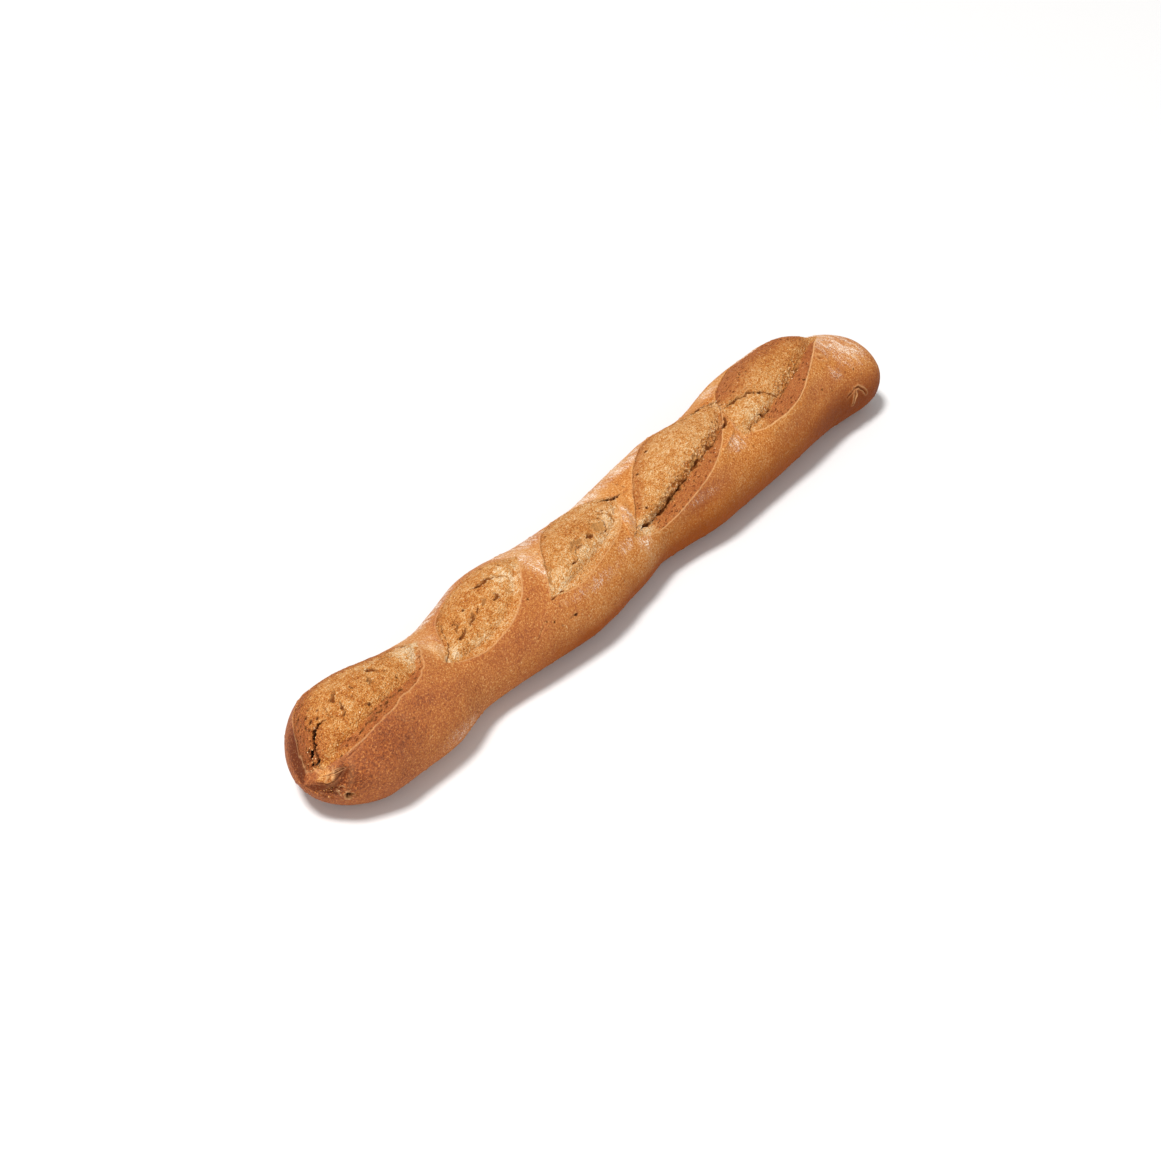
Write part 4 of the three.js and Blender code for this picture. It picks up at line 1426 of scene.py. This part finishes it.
def torn_skin(tree, place, clouds, mottle, fine):
    """Torn skin: golden grains and folds, creamy places, and the browned and pitted face."""
    face, cream = tree.mark("face"), tree.mark("cream")
    plates = crackle(tree, place, RELIEF["Crackle size"])
    folds = wrinkles(tree, place, RELIEF["Wrinkle size"]) * tree.mark("wrinkle")
    drawn = fibres(tree, place, RELIEF["Fibre size"])
    shade, middle = grains(tree, place, TORN_GRAIN_SIZE)
    crisp = tree.noise(place, CRISP_SIZE, 2, 0.7) - 0.5
    threads = squeezed(tree, warp(tree, place, 5, 3), THREAD_SQUEEZE)
    threads = tree.noise(threads, THREAD_SIZE, 2, 0.6) - 0.5
    patches = tree.noise(warp(tree, place, 4, 3), PATCH_SIZE, 3, 0.6).rise(0.48, 0.56)
    browns = TORN_BROWNS
    rough = (fine * browns["fine"] + crisp * browns["crisp"] + threads * browns["threads"]
             + shade * browns["grains"])
    baked = (browns["all"] + patches * browns["patches"] + mottle * browns["mottle"] + rough
             + clouds * browns["clouds"] + folds * browns["folds"] + drawn * browns["fibres"]
             + (1 - plates) * browns["gaps"]
             + cream * (browns["cream"] + patches * browns["creamy patches"])
             + (tree.mark("bake") - 0.5) * browns["bake"] + face * browns["face"])
    skin = browned(tree, baked)
    scorched = flecks(tree, place, SCORCH_SIZE, SCORCH_SQUEEZE, 0.4)
    skin = tree.mix(scorched * COVER["scorch"], skin, SCORCH_COLOUR)
    skin = tree.mix(face * COVER["face"], skin, FACE_COLOUR)
    # painted highlights: pale glints on the grain of the torn skin
    glints = tree.noise(place, GLINT_SIZE, 1).rise(0.6, 0.66) * (1 - face * 0.7)
    skin = tree.mix(glints * COVER["glint"], skin, PALE_SPECK_AND_GLINT_COLOUR)
    holes = (pits(tree, place, RELIEF["Pit size"], PITTED) * face * 1.7).rise(0.25, 1.0)
    return tree.mix(holes * COVER["pit"], skin, PIT_AND_STEP_SHADOW_COLOUR), holes, middle


# %% [markdown]
# ### Cracks, edges, and the whole crust
# The two skins meet at a leaf's edge. Over them lie the ragged hollows, painted warm brown as
# painted shade, the crumb in the cracks, painted darker the deeper it lies as painted shade, and
# the thin pale lines where the crust's edge dried before it browned, with a thin painted shadow
# beside each back step. One bump from the grain does for everything.

# %% Cracks and edges


def crumb_in_cracks(tree, colour, depth, fine):
    """Lays the crumb that shows in the cracks over a colour: golden or burnt, and painted darker
    the deeper it lies, as painted shade.
    """
    burnt = tree.mark("burnt")
    colour = tree.mix(burnt * COVER["burnt"], colour, BURNT_COLOUR)
    # painted shade: the crumb is darker the deeper it lies
    deep = (0.6 + (depth + fine).rise(0.0, 0.8) * 0.4) * tree.mark("dark")
    inside = tree.mix(deep, CRUMB_COLOUR, SHADED_CRUMB_COLOUR)
    inside = tree.mix(burnt * COVER["burnt crumb"], inside, BURNT_COLOUR)
    # painted shadow: nearly black at the bottom of burnt cracks, holes and the bubble
    inside = tree.mix(burnt * depth.rise(0.15, 0.6), inside, DEEP_SHADOW_COLOUR)
    return tree.mix((depth + fine * 1.5).rise(-0.05, 0.3), colour, inside)


def edge_lines(tree, colour, edge_gap, mottle, fine):
    """Lays the pale lines along lips, back edges and rims over a colour, and a painted shadow line
    beside each back step.
    """
    lip = (tree.mark("lip_gap") + 0.35).bell(0.45) * tree.mark("lip_open")
    edge = (tree.mark("back_gap") + 0.6).bell(0.4) * COVER["back edge"]
    on_edge = edge_gap.rise(2.4, 1.2)
    lines = (lip * (0.8 + fine * 2 + mottle)).most(edge) * on_edge
    lines = lines.most(tree.mark("rim"))
    colour = tree.mix(lines * COVER["light line"], colour, LIP_COLOUR)
    # painted shadow: a thin dark line just inside the low back step
    seam = (tree.mark("back_gap") - 0.4).bell(0.5) * on_edge
    return tree.mix(seam * COVER["seam"], colour, PIT_AND_STEP_SHADOW_COLOUR)


def finish_material(tree, colour, roughness, grain, strength, depth):
    """A bump from the grain, one Principled shader, and the way out."""
    bump = tree.node("ShaderNodeBump", {},
                     {"Strength": strength, "Distance": depth * MM, "Height": grain})
    shader = tree.node("ShaderNodeBsdfPrincipled", {},
                       {"Base Color": colour, "Roughness": roughness, "Normal": bump,
                        "Specular IOR Level": SHINE})
    tree.node("ShaderNodeOutputMaterial", {}, {0: shader})


# %% The crust's material


def crust_nodes(material):
    """Smooth and torn skin, hollows, cracks and edges, in one material."""
    tree = Tree(material.node_tree)
    place = tree.place()
    edge_gap, depth = tree.mark("edge_gap"), tree.mark("crack_depth")
    leaf = edge_gap.rise(-0.25, 0.25)
    clouds = tree.noise(place, CLOUD_SIZE, 3) - 0.5
    mottle = tree.noise(place, MOTTLE_SIZE, 4, 0.6) - 0.5
    fine = tree.noise(place, GRAIN_SIZE, 2, 0.7) - 0.5

    skin, dusted = smooth_crust(tree, place, clouds, mottle, fine)
    torn, holes, middle = torn_skin(tree, place, clouds, mottle, fine)
    colour = tree.mix(leaf.most(tree.mark("knob")), skin, torn)
    hollows = crags(tree, place, RELIEF["Crag size"])
    # painted shade: the hollows of crumbly skin are painted warm brown
    colour = tree.mix(hollows * COVER["hollow"], colour, HOLLOW_SHADE_COLOUR)
    colour = crumb_in_cracks(tree, colour, depth, fine)
    colour = edge_lines(tree, colour, edge_gap, mottle, fine)

    crumb = depth.rise(0.0, 0.4)
    roughness = 0.54 + leaf * 0.06 + dusted * 0.3 + crumb * 0.25 + fine * 0.3
    grain = fine * (0.6 + leaf * 0.9) - holes * 0.5 + leaf * middle * 0.5
    finish_material(tree, colour, roughness, grain, 1.0, 1.0)


crust_nodes(crust_material)
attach(loaf, "root")
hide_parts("loaf")
print("crust material:", len(crust_material.node_tree.nodes), "nodes")

# %% [markdown]
# ## Crumbs
# Crumbs cling where the skin tore: along the cracks and thinly over the
# leaves. They could be scattered by hand, but there are many hundreds. This second tree
# throws points over the loaf, thickest where the skin is crumbly, and puts a small ball on
# each, squashed and turned at random. Its balls sink half into the crust, so none float.

# %% The crumb tree
CRUMBS = {"Crumbs per cm2": 16.0, "Thin share": 0.12, "Smallest": 0.16, "Largest": 0.42,
          "Seed": 5}
CRUMB_COLOURS = {"middle": 0.24, "spread": 1.6, "size": 1.6}  # places on the browning ramp
CM2_PER_M2 = 1e4


def crumb_tree():
    """Balls of random form on the loaf, thickest where its skin is crumbly."""
    tree, given = new_geometry_tree("clinging crumbs", CRUMBS)
    share = (tree.mark("crag").rise(0.15, 0.7) + tree.mark("leaf") * given["Thin share"]
             * (1 - tree.mark("face"))) * tree.mark("crack_depth").rise(0.1, -0.3)
    points = tree.node("GeometryNodeDistributePointsOnFaces", {},
                       {"Mesh": given["Geometry"], "Seed": given["Seed"],
                        "Density": share * given["Crumbs per cm2"] * CM2_PER_M2})
    ball = tree.node("GeometryNodeMeshIcoSphere", {}, {"Radius": MM, "Subdivisions": 2})
    turn = tree.node("FunctionNodeRandomValue", {"data_type": "FLOAT_VECTOR"},
                     {0: (0, 0, 0), 1: (math.tau,) * 3, "Seed": 1})
    least = tree.node("ShaderNodeCombineXYZ", {}, {axis: given["Smallest"] for axis in range(3)})
    most = tree.node("ShaderNodeCombineXYZ", {}, {axis: given["Largest"] for axis in range(3)})
    size = tree.node("FunctionNodeRandomValue", {"data_type": "FLOAT_VECTOR"},
                     {0: least, 1: most, "Seed": 2})
    crumbs = tree.node("GeometryNodeInstanceOnPoints", {},
                       {"Points": points, "Instance": ball, "Rotation": turn, "Scale": size})
    return close_geometry_tree(tree, crumbs, given["Material"])


def crumb_nodes(material):
    """Golden to brown crumb, each lump a little different."""
    tree = Tree(material.node_tree)
    place = tree.place()
    lumps = tree.noise(place, CRUMB_COLOURS["size"], 2) - 0.5
    colour = browned(tree, CRUMB_COLOURS["middle"] + lumps * CRUMB_COLOURS["spread"])
    finish_material(tree, colour, 0.8, tree.noise(place, 0.3, 2), 0.4, 0.2)


crumb_material = new_material("crumb")
crumb_nodes(crumb_material)
crumbs = add_object("crumbs", loaf.data.copy())
run_tree(crumbs, crumb_tree(), CRUMBS, crumb_material)
crumbs.data.materials.clear()
crumbs.data.materials.append(crumb_material)
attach(crumbs, "root")
print("crumb triangles:", triangle_count(crumbs))

# %% [markdown]
# ## Floor and light
# The loaf lies on a plain pale floor. One soft light stands high behind its left end, so the
# lips throw thin shadows and the front flank is a little darker. A weak one low in front and a
# pale room fill in.

# %% Floor
FLOOR_REACH = 4  # metres each way
FLOOR_COLOUR = (0.8, 0.795, 0.79, 1)
FLOOR_ROUGHNESS = 0.9

scene = bpy.context.scene
scene.view_settings.view_transform = "Standard"
floor_corners = [(-FLOOR_REACH, -FLOOR_REACH, 0), (FLOOR_REACH, -FLOOR_REACH, 0),
                 (FLOOR_REACH, FLOOR_REACH, 0), (-FLOOR_REACH, FLOOR_REACH, 0)]
floor_mesh = bpy.data.meshes.new("floor")
floor_mesh.from_pydata(floor_corners, [], [(0, 1, 2, 3)])
floor = add_object("floor", floor_mesh)
pale_floor = bpy.data.materials.new("pale floor")
pale_floor.use_nodes = True
floor_shader = pale_floor.node_tree.nodes["Principled BSDF"]
floor_shader.inputs["Base Color"].default_value = FLOOR_COLOUR
floor_shader.inputs["Roughness"].default_value = FLOOR_ROUGHNESS
floor_mesh.materials.append(pale_floor)
print("floor:", 2 * FLOOR_REACH, "metres square")

# %% Room and lights
ROOM_COLOUR, ROOM_STRENGTH = (1, 0.99, 0.98, 1), 0.42
SOFTBOXES = {  # place and size in metres, power in watts
    "key": {"place": (-2.3, 1.2, 7.9), "size": 1.7, "power": 655},
    "fill": {"place": (-1.4, -1.2, 0.8), "size": 0.8, "power": 9},
}


def add_softbox(name, place, size, power):
    """A square soft light at place that points at the loaf."""
    data = bpy.data.lights.new(name, "AREA")
    data.energy, data.size = power, size
    light = add_object(name, data)
    light.location = place
    light.rotation_euler = (-Vector(place)).to_track_quat("-Z", "Y").to_euler()


world = bpy.data.worlds.new("studio")
world.use_nodes = True
world.node_tree.nodes["Background"].inputs["Color"].default_value = ROOM_COLOUR
world.node_tree.nodes["Background"].inputs["Strength"].default_value = ROOM_STRENGTH
scene.world = world
for name, softbox in SOFTBOXES.items():
    add_softbox(name, **softbox)
print("lights:", ", ".join(SOFTBOXES))
